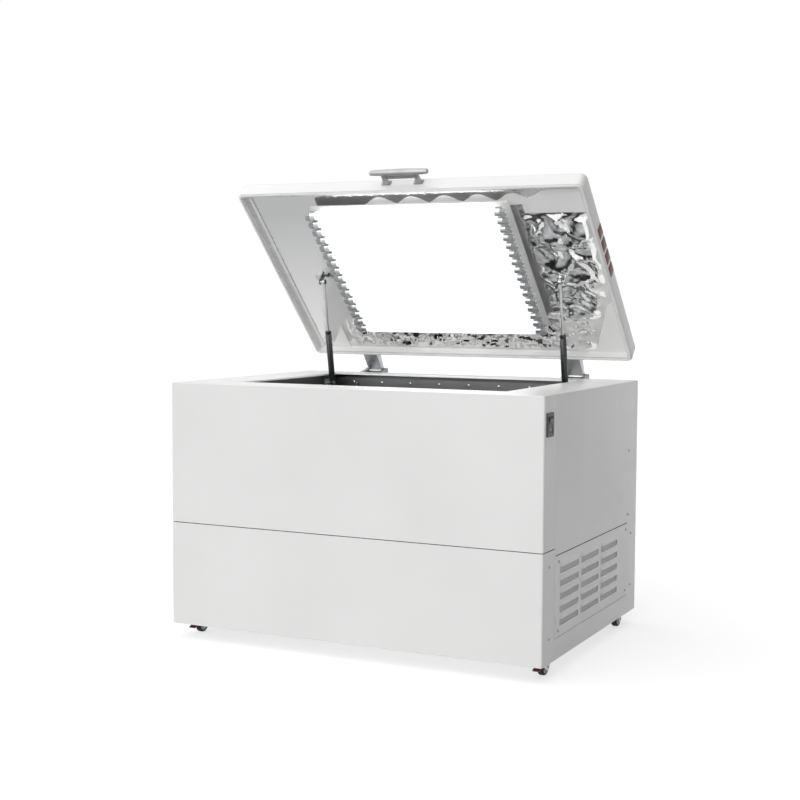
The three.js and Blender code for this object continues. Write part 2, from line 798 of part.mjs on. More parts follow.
// Idler cranks stand in cups on the chamber floor and keep the platform level.
const housingTop = discLow - fit.gap;
const cupSeat = floorTop + fit.gap;
const cupFloor = cupSeat + chamber.sheet * 2;
const cupBore = boreRadius(orbit.journal, 12);
const idlerCup = turned([
  [0, cupSeat],
  [orbit.housing, cupSeat],
  [orbit.housing, housingTop],
  [cupBore, housingTop],
  [cupBore, cupFloor],
  [0, cupFloor],
], 12);
const idlerX = sides.map((side) => side * orbit.idlerX);
const beam = cut(
  block([-orbit.idlerX, orbit.idlerX], [-orbit.housing, orbit.housing], [cupSeat, cupFloor]),
  bar(shaftHole.tub, cupSeat - fit.overrun, cupFloor + fit.overrun, 16),
);
place(
  'idler_beam',
  join(beam, ...idlerX.map((x) => moved(idlerCup, x, 0, 0))).translate(0, shaftY, 0),
  'iron',
);
idlerX.forEach((x, i) => {
  const crank = crankHead(orbit.journal, cupFloor + fit.gap, 12);
  place(`idler_crank_${sideNames[i]}`, crank.translate(x, shaftY, 0), 'steel');
});

// Rotor pulley, motor and belt
const motor = { radius: 55, low: 168, spindle: 8, flange: 62, flangeHeight: 8 };
place(
  'drive_motor',
  turned([
    [motor.spindle + fit.run * 2, motor.low],
    [motor.radius, motor.low],
    [motor.radius, bearingTop - motor.flangeHeight],
    [motor.flange, bearingTop - motor.flangeHeight],
    [motor.flange, bearingTop],
    [0, bearingTop],
    [0, motor.low + motor.radius],
    [motor.spindle + fit.run * 2, motor.low + motor.radius],
    [motor.spindle + fit.run * 2, motor.low],
  ], 18).translate(pulley.motorX, shaftY, 0),
  'blackSteel',
);
place(
  'motor_pulley',
  join(
    bar(pulley.motorRadius, pulley.low, pulleyTop, 30),
    bar(motor.spindle, pulleyTop - fit.overrun, motor.low + motor.radius - fit.gap * 2, 12),
  ).translate(pulley.motorX, shaftY, 0),
  'aluminium',
);

// Open loop round both pulleys: an arc on each, joined by the common tangents
function beltOutline(extra) {
  const span = -pulley.motorX;
  const big = pulley.radius + extra;
  const small = pulley.motorRadius + extra;
  const lean = Math.asin((big - small) / span);
  const ease = 1 / Math.cos(Math.PI / pulley.arcSteps / 2);
  const points = [];
  const arc = (x, radius, from, to) => {
    for (let i = 0; i <= pulley.arcSteps; i += 1) {
      const angle = from + ((to - from) * i) / pulley.arcSteps;
      points.push([x + radius * ease * Math.cos(angle), radius * ease * Math.sin(angle)]);
    }
  };
  arc(0, big, -Math.PI / 2 - lean, Math.PI / 2 + lean);
  arc(pulley.motorX, small, Math.PI / 2 + lean, Math.PI * 1.5 - lean);
  return points;
}
const beltLow = pulley.low + (pulley.height - pulley.beltWidth) / 2;
place(
  'drive_belt',
  cut(
    prism(beltOutline(fit.run + pulley.belt), beltLow, beltLow + pulley.beltWidth),
    prism(beltOutline(fit.run), beltLow - fit.overrun, beltLow + pulley.beltWidth + fit.overrun),
  ).translate(0, shaftY, 0),
  'belt',
);

// Orbiting platform: the carrier on the three crank pins and the tray that flasks stand in
const tray = { width: 720, depth: 490, sheet: 2, lip: 18 };
const pinBore = boreRadius(orbit.pin, orbit.pinSides);
const platformX = orbit.throw;
function pinHole(x) {
  return moved(bar(pinBore, carrierLow - fit.overrun, carrierTop + fit.overrun, orbit.pinSides), x, 0, 0);
}
const carrierPlate = block(
  [-carrier.width / 2, carrier.width / 2],
  [-carrier.depth / 2, carrier.depth / 2],
  [carrierLow, carrierTop],
);
const holedCarrier = cut(carrierPlate, pinHole(0), ...idlerX.map(pinHole));
place('platform_carrier', holedCarrier.translate(platformX, shaftY, 0), 'aluminium');
const trayLow = carrierTop + fit.gap;
const trayTop = trayLow + tray.sheet;
const trayHalfX = tray.width / 2;
const trayHalfY = tray.depth / 2;
const flaskTray = cut(
  block([-trayHalfX, trayHalfX], [-trayHalfY, trayHalfY], [trayLow, trayLow + tray.lip]),
  block(
    [tray.sheet - trayHalfX, trayHalfX - tray.sheet],
    [tray.sheet - trayHalfY, trayHalfY - tray.sheet],
    [trayTop, trayLow + tray.lip + fit.overrun],
  ),
);
place('platform_tray', flaskTray.translate(platformX, shaftY, 0), 'stainless');

// Cooling unit behind the vent, and the mains inlet
const compressor = {
  inset: 123,
  rearInset: 83,
  radius: 66,
  height: 168,
  dome: 26,
  foot: 134,
  footHeight: 8,
  shoulderShares: [0.7, 0.25],
};
const [shoulderOut, shoulderDrop] = compressor.shoulderShares;
const compressorCan = turned([
  [0, 0],
  [compressor.radius, 0],
  [compressor.radius, compressor.height - compressor.dome],
  [compressor.radius * shoulderOut, compressor.height - compressor.dome * shoulderDrop],
  [0, compressor.height],
], 18);
const compressorFoot = block(
  [-compressor.foot / 2, compressor.foot / 2],
  [-compressor.radius, compressor.radius],
  [0, compressor.footHeight],
);
const compressorAt = [sideInner - compressor.inset, halfDepth - compressor.rearInset, panTop + fit.gap];
place('compressor', join(compressorCan, compressorFoot).translate(...compressorAt), 'blackSteel');
const condenser = { outset: 10, depth: 34, y: -90, length: 320, height: 214, fins: 9, finShare: 0.3 };
const cooler = {
  radius: 96,
  hub: 24,
  blades: 5,
  depth: 24,
  frame: 3,
  rise: 112,
  motor: 32,
  motorDepth: 44,
  barHeight: 22,
  spindle: 5,
  tip: 4,
};
const condenserOut = sideInner - condenser.outset;
const condenserIn = condenserOut - condenser.depth;
const condenserLow = panTop + fit.gap;
function condenserCoil() {
  const y0 = condenser.y - condenser.length / 2;
  const inset = condenser.depth / 6;
  const high = condenserLow + condenser.height;
  const core = block(
    [condenserIn + inset, condenserOut - inset],
    [y0, y0 + condenser.length],
    [condenserLow, high],
  );
  const fin = (condenser.length / condenser.fins) * condenser.finShare;
  const fins = spread(condenser.fins, condenser.length - fin).map((y) => {
    const middle = condenser.y + y;
    return block([condenserIn, condenserOut], [middle - fin / 2, middle + fin / 2], [condenserLow, high]);
  });
  return join(core, ...fins);
}

// Frame with a round throat and a bar across its back that holds the fan motor
const frameOut = condenserIn + cooler.frame / 2;
const frameIn = frameOut - cooler.frame;
const coolerZ = condenserLow + cooler.rise;
const coolerOut = frameIn - cooler.tip;
const coolerIn = coolerOut - cooler.depth;
function coolerFrame() {
  const half = condenser.length / 2;
  const high = condenserLow + condenser.height;
  const plate = block([frameIn, frameOut], [condenser.y - half, condenser.y + half], [condenserLow, high]);
  const throat = alongX(bar(cooler.radius, frameIn - fit.overrun, frameOut + fit.overrun, 24));
  const barOut = coolerIn - cooler.tip;
  const barIn = barOut - cooler.frame;
  const barZ = [-cooler.barHeight / 2, cooler.barHeight / 2];
  const reach = cooler.radius + cooler.barHeight;
  const crossbar = block([barIn, barOut], [-reach, reach], barZ);
  const stayX = [barIn, frameIn + cooler.frame / 2];
  const stayWidth = cooler.barHeight / 2;
  const stays = [
    block(stayX, [-reach, stayWidth - reach], barZ),
    block(stayX, [reach - stayWidth, reach], barZ),
  ];
  const can = alongX(bar(cooler.motor, barIn - cooler.motorDepth, barIn + cooler.frame / 2, 16));
  const spindle = alongX(bar(cooler.spindle, barIn, coolerOut - cooler.tip, 10));
  const mounted = [crossbar, ...stays, can, spindle].map((piece) => moved(piece, 0, condenser.y, coolerZ));
  return join(cut(plate, moved(throat, 0, condenser.y, coolerZ)), ...mounted);
}
place('condenser_unit', join(condenserCoil(), coolerFrame()), 'aluminium');
const coolerBlades = fanWheel(
  cooler.radius - cooler.tip,
  cooler.hub,
  cooler.blades,
  cooler.depth,
  cooler.spindle,
);
place('condenser_fan', alongX(coolerBlades).translate(coolerIn, condenser.y, coolerZ), 'aluminium');

function powerInlet() {
  const halfX = inlet.width / 2;
  const halfZ = inlet.height / 2;
  const face = fit.gap + inlet.flangeSheet;
  const flange = block(
    [-inlet.flange / 2, inlet.flange / 2],
    [fit.gap, face],
    [-halfZ - inlet.wall, halfZ + inlet.wall],
  );
  const body = block([-halfX, halfX], [-inlet.body, face - inlet.flangeSheet / 2], [-halfZ, halfZ]);
  const pocket = block(
    [inlet.wall - halfX, halfX - inlet.wall],
    [face - inlet.pocket, face + fit.overrun],
    [inlet.wall - halfZ, halfZ - inlet.wall],
  );
  return cut(join(flange, body), pocket);
}
place('power_inlet', powerInlet().translate(inletX, halfDepth, inletZ), 'blackPlastic');

// Mains switch on the right return of the front panel
const rocker = { height: 38, width: 26, lift: 5, tiltAngle: 8, depth: 10, waistShare: 0.45, heelShare: 0.6 };
function switchBezel() {
  const face = fit.gap + power.flange;
  const halfY = power.width / 2;
  const halfZ = power.height / 2;
  const slack = power.bodyInset + fit.gap;
  const flange = block([fit.gap, face], [-halfY, halfY], [-halfZ, halfZ]);
  const body = block(
    [-power.body, face - power.flange / 2],
    [slack - halfY, halfY - slack],
    [slack - halfZ, halfZ - slack],
  );
  const well = block(
    [face - rocker.depth * 2, face + fit.overrun],
    [-rocker.width / 2 - fit.run, rocker.width / 2 + fit.run],
    [-rocker.height / 2 - fit.run * 3, rocker.height / 2 + fit.run * 3],
  );
  return cut(join(flange, body), well);
}
place('switch_bezel', switchBezel().translate(halfWidth, powerY, powerZ), 'blackPlastic');
const rockerPivot = new THREE.Group();
rockerPivot.position.set(halfWidth + fit.gap, powerY, powerZ);
rockerPivot.rotation.y = THREE.MathUtils.degToRad(rocker.tiltAngle);
shaker.add(rockerPivot);
const rockerHalf = rocker.height / 2;
const rockerOutline = [
  [-rocker.depth, -rockerHalf * rocker.heelShare],
  [rocker.lift, -rockerHalf],
  [rocker.lift * rocker.waistShare, 0],
  [rocker.lift, rockerHalf],
  [-rocker.depth, rockerHalf * rocker.heelShare],
];
place(
  'power_switch',
  railAlongY(rockerOutline, -rocker.width / 2, rocker.width / 2),
  'redPlastic',
  rockerPivot,
);

// Hinge bases on the rear panel: a plate and two ears, with a pin through them
function hingeBase() {
  const plateLow = top - hinge.baseHeight;
  const half = hinge.leafWidth / 2;
  const corner = hinge.knuckle * hinge.cornerShare;
  const y0 = halfDepth + fit.gap;
  const plate = block([-half, half], [y0, y0 + hinge.leaf], [plateLow, top - hinge.leaf]);
  const outline = [
    [y0 + hinge.leaf / 2, top - hinge.leaf],
    [y0 + hinge.leaf / 2, plateLow],
    [y0 + hinge.leaf, plateLow],
    [hingeY + corner, hingeZ - corner],
    [hingeY + hinge.knuckle, hingeZ],
    [hingeY + corner, hingeZ + corner],
    [hingeY, hingeZ + hinge.knuckle],
    [hingeY - hinge.knuckle, hingeZ],
  ];
  const ears = [railAlongX(outline, -half, hinge.ear - half), railAlongX(outline, half - hinge.ear, half)];
  const pin = alongX(bar(hinge.pin, -half, half, 12)).translate(0, hingeY, hingeZ);
  return join(plate, ...ears, pin);
}
sides.forEach((side, i) => {
  const piece = moved(hingeBase(), (side * hinge.spacing) / 2, 0, 0);
  place(`hinge_base_${sideNames[i]}`, piece, 'steel');
});

// Everything on the lid is drawn closed, about the hinge axis, and swung open together.
const lidSwing = new THREE.Group();
lidSwing.position.set(0, hingeY, hingeZ);
lidSwing.rotation.x = -THREE.MathUtils.degToRad(lid.openAngle);
shaker.add(lidSwing);
function lidPlate(inset, radius, low, high, steps) {
  return roundedPlate(
    [inset - lidHalf, lidHalf - inset],
    [front + inset, rear - inset],
    radius,
    low,
    high,
    steps,
  );
}

const shellTop = over - sheetLid.wall;
const shellFloor = under + sheetLid.wall;
place(
  'lid_shell',
  cut(
    lidPlate(0, sheetLid.corner, under, over, 4),
    lidPlate(sheetLid.wall, sheetLid.corner - sheetLid.wall, shellFloor, shellTop, 4),
    lidPlate(sheetLid.lip, sheetLid.innerCorner, under - fit.overrun, shellFloor + fit.overrun, 2),
  ),
  'enamel',
  lidSwing,
);
const linerLid = sheetLid.lip + fit.gap;
// The stud stops short of the rod's eye, where the linkage is open.
function lidStud(side) {
  const eyeSide = strutX + strut.eyeHalf + strut.side;
  const inner = eyeSide + strut.eye;
  const half = strut.bracketHalf;
  const high = strut.studDrop + sheetLid.liner / 2;
  const plate = block([inner, inner + strut.bracket], [-half, half], [-strut.eye, high]);
  const pin = alongX(bar(strut.pin, eyeSide, inner + strut.bracket / 2, 12));
  const piece = join(plate, pin);
  if (side < 0) piece.rotateZ(Math.PI);
  return piece.translate(0, studY, studZ);
}
const linerBack = trayCeiling + sheetLid.liner;
const lidTray = cut(
  lidPlate(linerLid, sheetLid.innerCorner, under, linerBack, 2),
  lidPlate(linerLid + sheetLid.liner, sheetLid.innerCorner, under - fit.overrun, trayCeiling, 2),
);
place('lid_liner', join(lidTray, ...sides.map(lidStud)), 'mirror', lidSwing);
const foamInset = sheetLid.wall + fit.gap;
place(
  'lid_insulation',
  lidPlate(foamInset, sheetLid.corner - foamInset, linerBack + fit.gap, shellTop - fit.gap, 2),
  'foam',
  lidSwing,
);
const gasket = { inset: 2, width: 8 };
const gasketInner = gasket.inset + gasket.width;
const seatFace = under - lid.seat;
place(
  'lid_gasket',
  cut(
    lidPlate(gasket.inset, sheetLid.corner - gasket.inset, seatFace + fit.gap, under - fit.gap, 3),
    lidPlate(gasketInner, sheetLid.innerCorner, seatFace - fit.overrun, under + fit.overrun, 2),
  ),
  'rubber',
  lidSwing,
);

// Lamp bank: a shallow tray under the liner, tubes in pairs of holders
const lamps = {
  count: 16,
  length: 590,
  radius: 13,
  wall: 1.4,
  railX: 150,
  rail: 4,
  drop: 30,
  rearU: 157,
  frontU: 617,
  holder: 14,
  holderWidth: 20,
  traySide: 10,
  trayEnd: 12,
  trayDepth: 24,
};
const lampFront = rear - lamps.frontU;
const lampRear = rear - lamps.rearU;
const lampHalf = lamps.length / 2;
const holderOut = lampHalf + fit.gap + lamps.holder;
const lampTrayLow = trayCeiling - lamps.trayDepth;
const trayReach = holderOut + lamps.trayEnd;
const trayEdge = lamps.radius + lamps.traySide;
const lampTray = (inset, low, high) => block(
  [inset - trayReach, trayReach - inset],
  [lampFront - trayEdge + inset, lampRear + trayEdge - inset],
  [low, high],
);
const lampTrayShell = cut(
  lampTray(0, lampTrayLow, trayCeiling - fit.gap),
  lampTray(chamber.sheet, lampTrayLow + chamber.sheet, trayCeiling + fit.overrun),
);
const lampRows = spread(lamps.count, lampRear - lampFront).map((y) => (lampFront + lampRear) / 2 + y);
const lampZ = under - lamps.drop;
const lampHolder = (y, side) => {
  const ends = [side * (lampHalf + fit.gap), side * holderOut].sort((a, b) => a - b);
  const half = lamps.holderWidth / 2;
  return block(ends, [y - half, y + half], [lampZ - lamps.radius, lampTrayLow + chamber.sheet / 2]);
};
const lampHolders = lampRows.flatMap((y) => sides.map((side) => lampHolder(y, side)));
place('lamp_tray', join(lampTrayShell, ...lampHolders), 'whitePlastic', lidSwing);
const tubes = lampRows.map((y) =>
  alongX(ring(lamps.radius - lamps.wall, lamps.radius, -lampHalf, lampHalf, 8)).translate(0, y, lampZ));
// Two clip rails across the backs of the tubes hold them in line.
const clipRails = sides.map((side) => block(
  [side * lamps.railX - lamps.rail, side * lamps.railX + lamps.rail],
  [lampFront, lampRear],
  [lampZ + lamps.radius - lamps.wall, lampZ + lamps.radius + lamps.wall],
));
place('lamp_tubes', join(...tubes, ...clipRails), 'lampGlass', lidSwing);

// Handle: a round grip on a neck with two feet on the lid's front wall
const handle = {
  length: 180,
  grip: 9.5,
  standoff: 38,
  postGap: 100,
  post: 16,
  footWidth: 27,
  foot: 4,
  riseShare: 0.62,
};
const handleZ = under + lid.thickness * handle.riseShare;
function lidHandle() {
  const grip = alongX(bar(handle.grip, -handle.length / 2, handle.length / 2, 14));
  const legPieces = sides.flatMap((side) => {
    const middle = (side * handle.postGap) / 2;
    const post = block(
      [middle - handle.post / 2, middle + handle.post / 2],
      [-handle.standoff, -fit.gap],
      [-handle.grip / 2, handle.grip / 2],
    );
    const foot = block(
      [middle - handle.footWidth / 2, middle + handle.footWidth / 2],
      [-fit.gap - handle.foot, -fit.gap],
      [-handle.grip, handle.grip],
    );
    return [post, foot];
  });
  return join(grip.translate(0, -handle.standoff, 0), ...legPieces).translate(0, front, handleZ);
}
place('lid_handle', lidHandle(), 'chrome', lidSwing);

// Control panel on top of the lid, with a display and a start key
const panel = {
  sideInset: 232,
  width: 230,
  length: 96,
  height: 14,
  inset: 60,
  corner: 10,
  displayWidth: 118,
  displayLength: 58,
  displayInset: 18,
  recess: 3,
  window: 2,
};
const key = { size: 26, x: 72, travel: 1.5, depth: 6, proud: 3 };
const panelX = lidHalf - panel.sideInset;
const panelLow = over + fit.gap;
const panelHigh = panelLow + panel.height;
const panelFront = front + panel.inset;
const keyHoleHalf = key.size / 2 + fit.run;
const panelMiddle = panelFront + panel.length / 2;
const displayX = panelX - panel.width / 2 + panel.displayInset;
const displayFront = panelMiddle - panel.displayLength / 2;
place(
  'control_panel',
  cut(
    roundedPlate(
      [panelX - panel.width / 2, panelX + panel.width / 2],
      [panelFront, panelFront + panel.length],
      panel.corner,
      panelLow,
      panelHigh,
      2,
    ),
    block(
      [displayX - fit.gap, displayX + panel.displayWidth + fit.gap],
      [displayFront - fit.gap, displayFront + panel.displayLength + fit.gap],
      [panelHigh - panel.recess, panelHigh + fit.overrun],
    ),
    block(
      [panelX + key.x - keyHoleHalf, panelX + key.x + keyHoleHalf],
      [panelMiddle - keyHoleHalf, panelMiddle + keyHoleHalf],
      [panelHigh - key.depth - key.travel, panelHigh + fit.overrun],
    ),
  ),
  'greyPlastic',
  lidSwing,
);
place(
  'control_display',
  block(
    [displayX, displayX + panel.displayWidth],
    [displayFront, displayFront + panel.displayLength],
    [panelHigh - panel.recess + fit.gap, panelHigh - panel.recess + fit.gap + panel.window],
  ),
  'screen',
  lidSwing,
);
place(
  'start_key',
  block(
    [panelX + key.x - key.size / 2, panelX + key.x + key.size / 2],
    [panelMiddle - key.size / 2, panelMiddle + key.size / 2],
    [panelHigh - key.depth + fit.gap, panelHigh + key.proud],
  ),
  'whitePlastic',
  lidSwing,
);

// Hinge leaves: a plate on the lid's rear wall and an arm to the knuckle between the ears
function hingeLeaf() {
  const half = hinge.leafWidth / 2;
  const arm = half - hinge.ear - fit.run;
  const corner = hinge.knuckle * hinge.cornerShare;
  const y0 = rear + fit.gap;
  const low = under + hinge.leaf / 2;
  const plate = block([-half, half], [y0, y0 + hinge.leaf], [low, under + hinge.height]);
  const outline = [
    [y0 + hinge.leaf / 2, low],
    [-hinge.knuckle, low],
    [-corner, -corner],
    [0, -hinge.knuckle],
    [corner, -corner],
    [hinge.knuckle, 0],
    [corner, corner],
    [y0 + hinge.leaf / 2, under + hinge.height - hinge.leaf],
  ];
  const hole = alongX(bar(boreRadius(hinge.pin, 12), -half, half, 12));
  return cut(join(plate, railAlongX(outline, -arm, arm)), hole);
}
sides.forEach((side, i) => {
  const leaf = moved(hingeLeaf(), (side * hinge.spacing) / 2, 0, 0);
  place(`hinge_leaf_${sideNames[i]}`, leaf, 'steel', lidSwing);
});

function strutCylinder() {
  const boreFloor = cylinderLength - stroke - strut.engaged * 2;
  const tube = turned([
    [0, strut.eye],
    [strut.cylinder, strut.eye],
    [strut.cylinder, cylinderLength],
    [strut.bore, cylinderLength],
    [strut.bore, boreFloor],
    [0, boreFloor],
  ], 14);
  const eye = alongX(bar(strut.eye, -strut.eyeHalf, strut.eyeHalf, 12));
  const neckTop = strut.eye * strut.neckShare;
  const neck = block([-strut.eyeHalf, strut.eyeHalf], [-strut.eyeHalf, strut.eyeHalf], [0, neckTop]);
  const hole = alongX(bar(boreRadius(strut.pin, 12), -strut.eye, strut.eye, 12));
  return cut(join(tube, eye, neck), hole);
}

function strutRod() {
  const stem = bar(strut.rod, cylinderLength - strut.engaged, strutLength, 10);
  const head = alongX(bar(strut.eye, -strut.eyeHalf, strut.eyeHalf, 12)).translate(0, 0, strutLength);
  return join(stem, head);
}

sides.forEach((side, i) => {
  const leaning = new THREE.Group();
  leaning.position.set(side * strutX, strut.footY, footZ);
  leaning.rotation.x = strutTilt;
  shaker.add(leaning);
  place(`strut_cylinder_${sideNames[i]}`, strutCylinder(), 'blackSteel', leaning);
  place(`strut_rod_${sideNames[i]}`, strutRod(), 'chrome', leaning);
});

export default shaker;
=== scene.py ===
# Incubated shaker: a white steel chest on castors with its lid held open over a stainless chamber.
import json
from math import atan, cos, pi, radians, sin, sqrt, tan
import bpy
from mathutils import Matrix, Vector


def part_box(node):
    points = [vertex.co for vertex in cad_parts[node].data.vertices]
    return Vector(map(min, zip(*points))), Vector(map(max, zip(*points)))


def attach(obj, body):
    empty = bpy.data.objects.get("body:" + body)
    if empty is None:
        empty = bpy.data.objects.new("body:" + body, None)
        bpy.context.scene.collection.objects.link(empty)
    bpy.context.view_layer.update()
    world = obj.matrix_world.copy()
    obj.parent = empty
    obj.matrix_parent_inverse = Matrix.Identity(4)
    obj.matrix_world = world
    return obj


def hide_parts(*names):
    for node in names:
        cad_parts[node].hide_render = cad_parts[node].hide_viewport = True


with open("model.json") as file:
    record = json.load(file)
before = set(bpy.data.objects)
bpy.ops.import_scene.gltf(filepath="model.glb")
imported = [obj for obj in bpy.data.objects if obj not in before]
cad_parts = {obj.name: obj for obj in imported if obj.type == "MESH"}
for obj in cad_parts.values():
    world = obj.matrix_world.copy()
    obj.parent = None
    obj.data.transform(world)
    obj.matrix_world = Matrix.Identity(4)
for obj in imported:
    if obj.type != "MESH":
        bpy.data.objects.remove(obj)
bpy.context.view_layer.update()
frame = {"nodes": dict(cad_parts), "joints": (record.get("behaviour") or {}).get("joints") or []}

from types import SimpleNamespace

import bmesh
import bpy
from mathutils import Matrix, Vector, noise

nodes = frame["nodes"]
joints = {joint["name"]: joint for joint in frame["joints"]}
addToScene = bpy.context.scene.collection.objects.link
sides = ((-1, "left"), (1, "right"))
mm = 0.001


# A dictionary of lengths given in millimetres
def inMm(**lengths):
    return {name: value * mm for name, value in lengths.items()}


# Reads a piece's dictionary as look.name
def read(values):
    return SimpleNamespace(**values)


# Camera, fitted to the corners of the cabinet and the lid
cameraLook = {
    "lens": 63.9,
    "sensor": 36.0,
    "location": (1.7481, -3.6769, 0.9527),
    "azimuth": 26.08,
    "elevation": 4.10,
    "roll": 0.29,
}


def addCamera():
    look = read(cameraLook)
    azimuth = radians(look.azimuth)
    elevation = radians(look.elevation)
    back = Vector((sin(azimuth) * cos(elevation), -cos(azimuth) * cos(elevation), sin(elevation)))
    right = Vector((cos(azimuth), sin(azimuth), 0))
    aim = Matrix((right, back.cross(right), back)).transposed().to_4x4()
    data = bpy.data.cameras.new("studioCamera")
    data.lens = look.lens
    data.sensor_width = look.sensor
    data.sensor_fit = "HORIZONTAL"
    camera = bpy.data.objects.new("studioCamera", data)
    roll = Matrix.Rotation(radians(look.roll), 4, "Z")
    camera.matrix_world = Matrix.Translation(look.location) @ aim @ roll
    addToScene(camera)
    bpy.context.scene.camera = camera


addCamera()
print("camera set")


# Materials
def shaderOf(tree):
    return tree.nodes["Principled BSDF"]


def newMaterial(name, colour, metallic, roughness, **inputs):
    material = bpy.data.materials.new(name)
    material.use_nodes = True
    material.diffuse_color = (*colour, 1)
    values = {"Base_Color": (*colour, 1), "Metallic": metallic, "Roughness": roughness, **inputs}
    for socket, value in values.items():
        shaderOf(material.node_tree).inputs[socket.replace("_", " ")].default_value = value
    return material


def wire(source, target):
    source.id_data.links.new(source, target)


# Sets sockets and properties by name, and feeds the sources to the node's first sockets
def addNode(tree, kind, *sources, **settings):
    node = tree.nodes.new("ShaderNode" + kind)
    for key, value in settings.items():
        socket = key.replace("_", " ")
        if socket in node.inputs:
            node.inputs[socket].default_value = value
        else:
            setattr(node, key, value)
    for source, socket in zip(sources, node.inputs):
        wire(source, socket)
    return node


def surfacePoint(tree, stretch=(1, 1, 1)):
    place = addNode(tree, "TexCoord").outputs["Object"]
    return addNode(tree, "Mapping", place, Scale=stretch).outputs["Vector"]


def addNoise(point, scale, detail=3.0, rough=0.5):
    texture = addNode(point.id_data, "TexNoise", point, Scale=scale, Detail=detail, Roughness=rough)
    return texture.outputs["Fac"]


def mathNode(operation, *sources):
    return addNode(sources[0].id_data, "Math", *sources, operation=operation).outputs[0]


def spreadTo(value, low, high, fromLow=0.3, fromHigh=0.7):
    ends = {"From_Min": fromLow, "From_Max": fromHigh, "To_Min": low, "To_Max": high}
    return addNode(value.id_data, "MapRange", value, **ends).outputs["Result"]


def tint(value, pale, dark, fromLow=0.3, fromHigh=0.7):
    ramp = addNode(value.id_data, "ValToRGB", value)
    stops = ramp.color_ramp.elements
    for stop, position, colour in zip(stops, (fromLow, fromHigh), (dark, pale)):
        stop.position = position
        stop.color = (*colour, 1)
    wire(ramp.outputs["Color"], shaderOf(value.id_data).inputs["Base Color"])


def roughen(value, low, high):
    wire(spreadTo(value, low, high), shaderOf(value.id_data).inputs["Roughness"])


def emboss(value, depth, strength):
    bump = addNode(value.id_data, "Bump", Distance=depth, Strength=strength)
    wire(value, bump.inputs["Height"])
    wire(bump.outputs["Normal"], shaderOf(value.id_data).inputs["Normal"])


def scaled(colour, factor):
    return tuple(channel * factor for channel in colour)


# Slow changes of tone, uneven gloss and a fine relief, each led by its noise's (scale, detail, roughness)
def skin(name, colour, metallic, roughness, tone, gloss, relief, stretch=(1, 1, 1), **inputs):
    material = newMaterial(name, colour, metallic, roughness, **inputs)
    grain = surfacePoint(material.node_tree, stretch)
    if tone:
        cloud = addNoise(surfacePoint(material.node_tree), *tone[0])
        tint(cloud, colour, scaled(colour, tone[1]))
    roughen(addNoise(grain, *gloss[0]), roughness * gloss[1], roughness * gloss[2])
    emboss(addNoise(grain, *relief[0]), *relief[1:])
    return material


# Baked enamel: a fine orange peel
def enamel(name, colour):
    coat = {"Coat_Weight": 0.25, "Coat_Roughness": 0.2}
    relief = ((900.0, 2.0), 0.00004, 0.35)
    return skin(name, colour, 0.0, 0.34, ((4.0, 2.0), 0.965), ((22.0, 4.0), 0.85, 1.2), relief, **coat)


# Rolled sheet: long fine scratches along one axis
def brushedSheet(name, colour, roughness, stretch):
    scratches = (60.0, 6.0, 0.65)
    gloss, relief = (scratches, 0.75, 1.3), (scratches, 0.00003, 0.4)
    return skin(name, colour, 1.0, roughness, ((7.0, 3.0), 0.82), gloss, relief, stretch)


# Moulded plastic, rubber and castings differ in how coarse their skin is.
def moulded(name, colour, roughness, grainSize, depth):
    relief = ((1.0 / grainSize, 3.0), depth, 0.5)
    return skin(name, colour, 0.0, roughness, ((18.0, 3.0), 0.88), ((60.0, 3.0), 0.9, 1.12), relief)


def machined(name, colour, roughness, grainSize=0.002, depth=0.00003):
    relief = ((1.0 / grainSize, 4.0), depth, 0.4)
    return skin(name, colour, 1.0, roughness, ((25.0, 3.0), 0.85), ((90.0, 4.0), 0.8, 1.25), relief)


# Film that is never quite flat. Its colour carries a painted reflection: darker towards the lid's front edge,
# its high end when open, and paler to the right.
def mirrorSheet(name, pale, dark, paintedDarkHeights, across):
    material = skin(name, pale, 1.0, 0.09, None, ((30.0, 4.0), 0.7, 1.5), ((60.0, 2.5, 0.55), 0.0008, 1.0))
    split = addNode(material.node_tree, "SeparateXYZ", surfacePoint(material.node_tree))
    # Painted reflection: darker high up towards the lid's front edge, paler towards the right
    lower = spreadTo(split.outputs["Z"], 0.6, 0.0, *paintedDarkHeights)
    paintedPaleRight = spreadTo(split.outputs["X"], 0.0, 1.0, *across)
    tint(mathNode("MAXIMUM", lower, paintedPaleRight), pale, dark, 0.0, 1.0)
    return material


# Fine woven mat: two sets of waves that cross
def wovenMat(name, colour, pitch):
    material = newMaterial(name, colour, 0.0, 0.9)
    point = surfacePoint(material.node_tree)
    waves = [
        addNode(point.id_data, "TexWave", point, Scale=1.0 / pitch, bands_direction=direction).outputs["Fac"]
        for direction in ("Y", "Z")
    ]
    weave = mathNode("MAXIMUM", *waves)
    tint(weave, colour, scaled(colour, 0.86))
    roughen(addNoise(point, 30.0, 3.0), 0.8, 1.0)
    emboss(weave, pitch * 0.3, 0.6)
    return material


# Lit glass, dimmer towards both ends, where the electrodes sit
def litGlass(name, colour, strength, dim, dimFrom, dimTo):
    material = newMaterial(name, colour, 0.0, 0.2, Emission_Color=(*colour, 1))
    split = addNode(material.node_tree, "SeparateXYZ", surfacePoint(material.node_tree))
    glow = spreadTo(mathNode("ABSOLUTE", split.outputs["X"]), strength, dim, dimFrom, dimTo)
    wire(glow, shaderOf(material.node_tree).inputs["Emission Strength"])
    return material


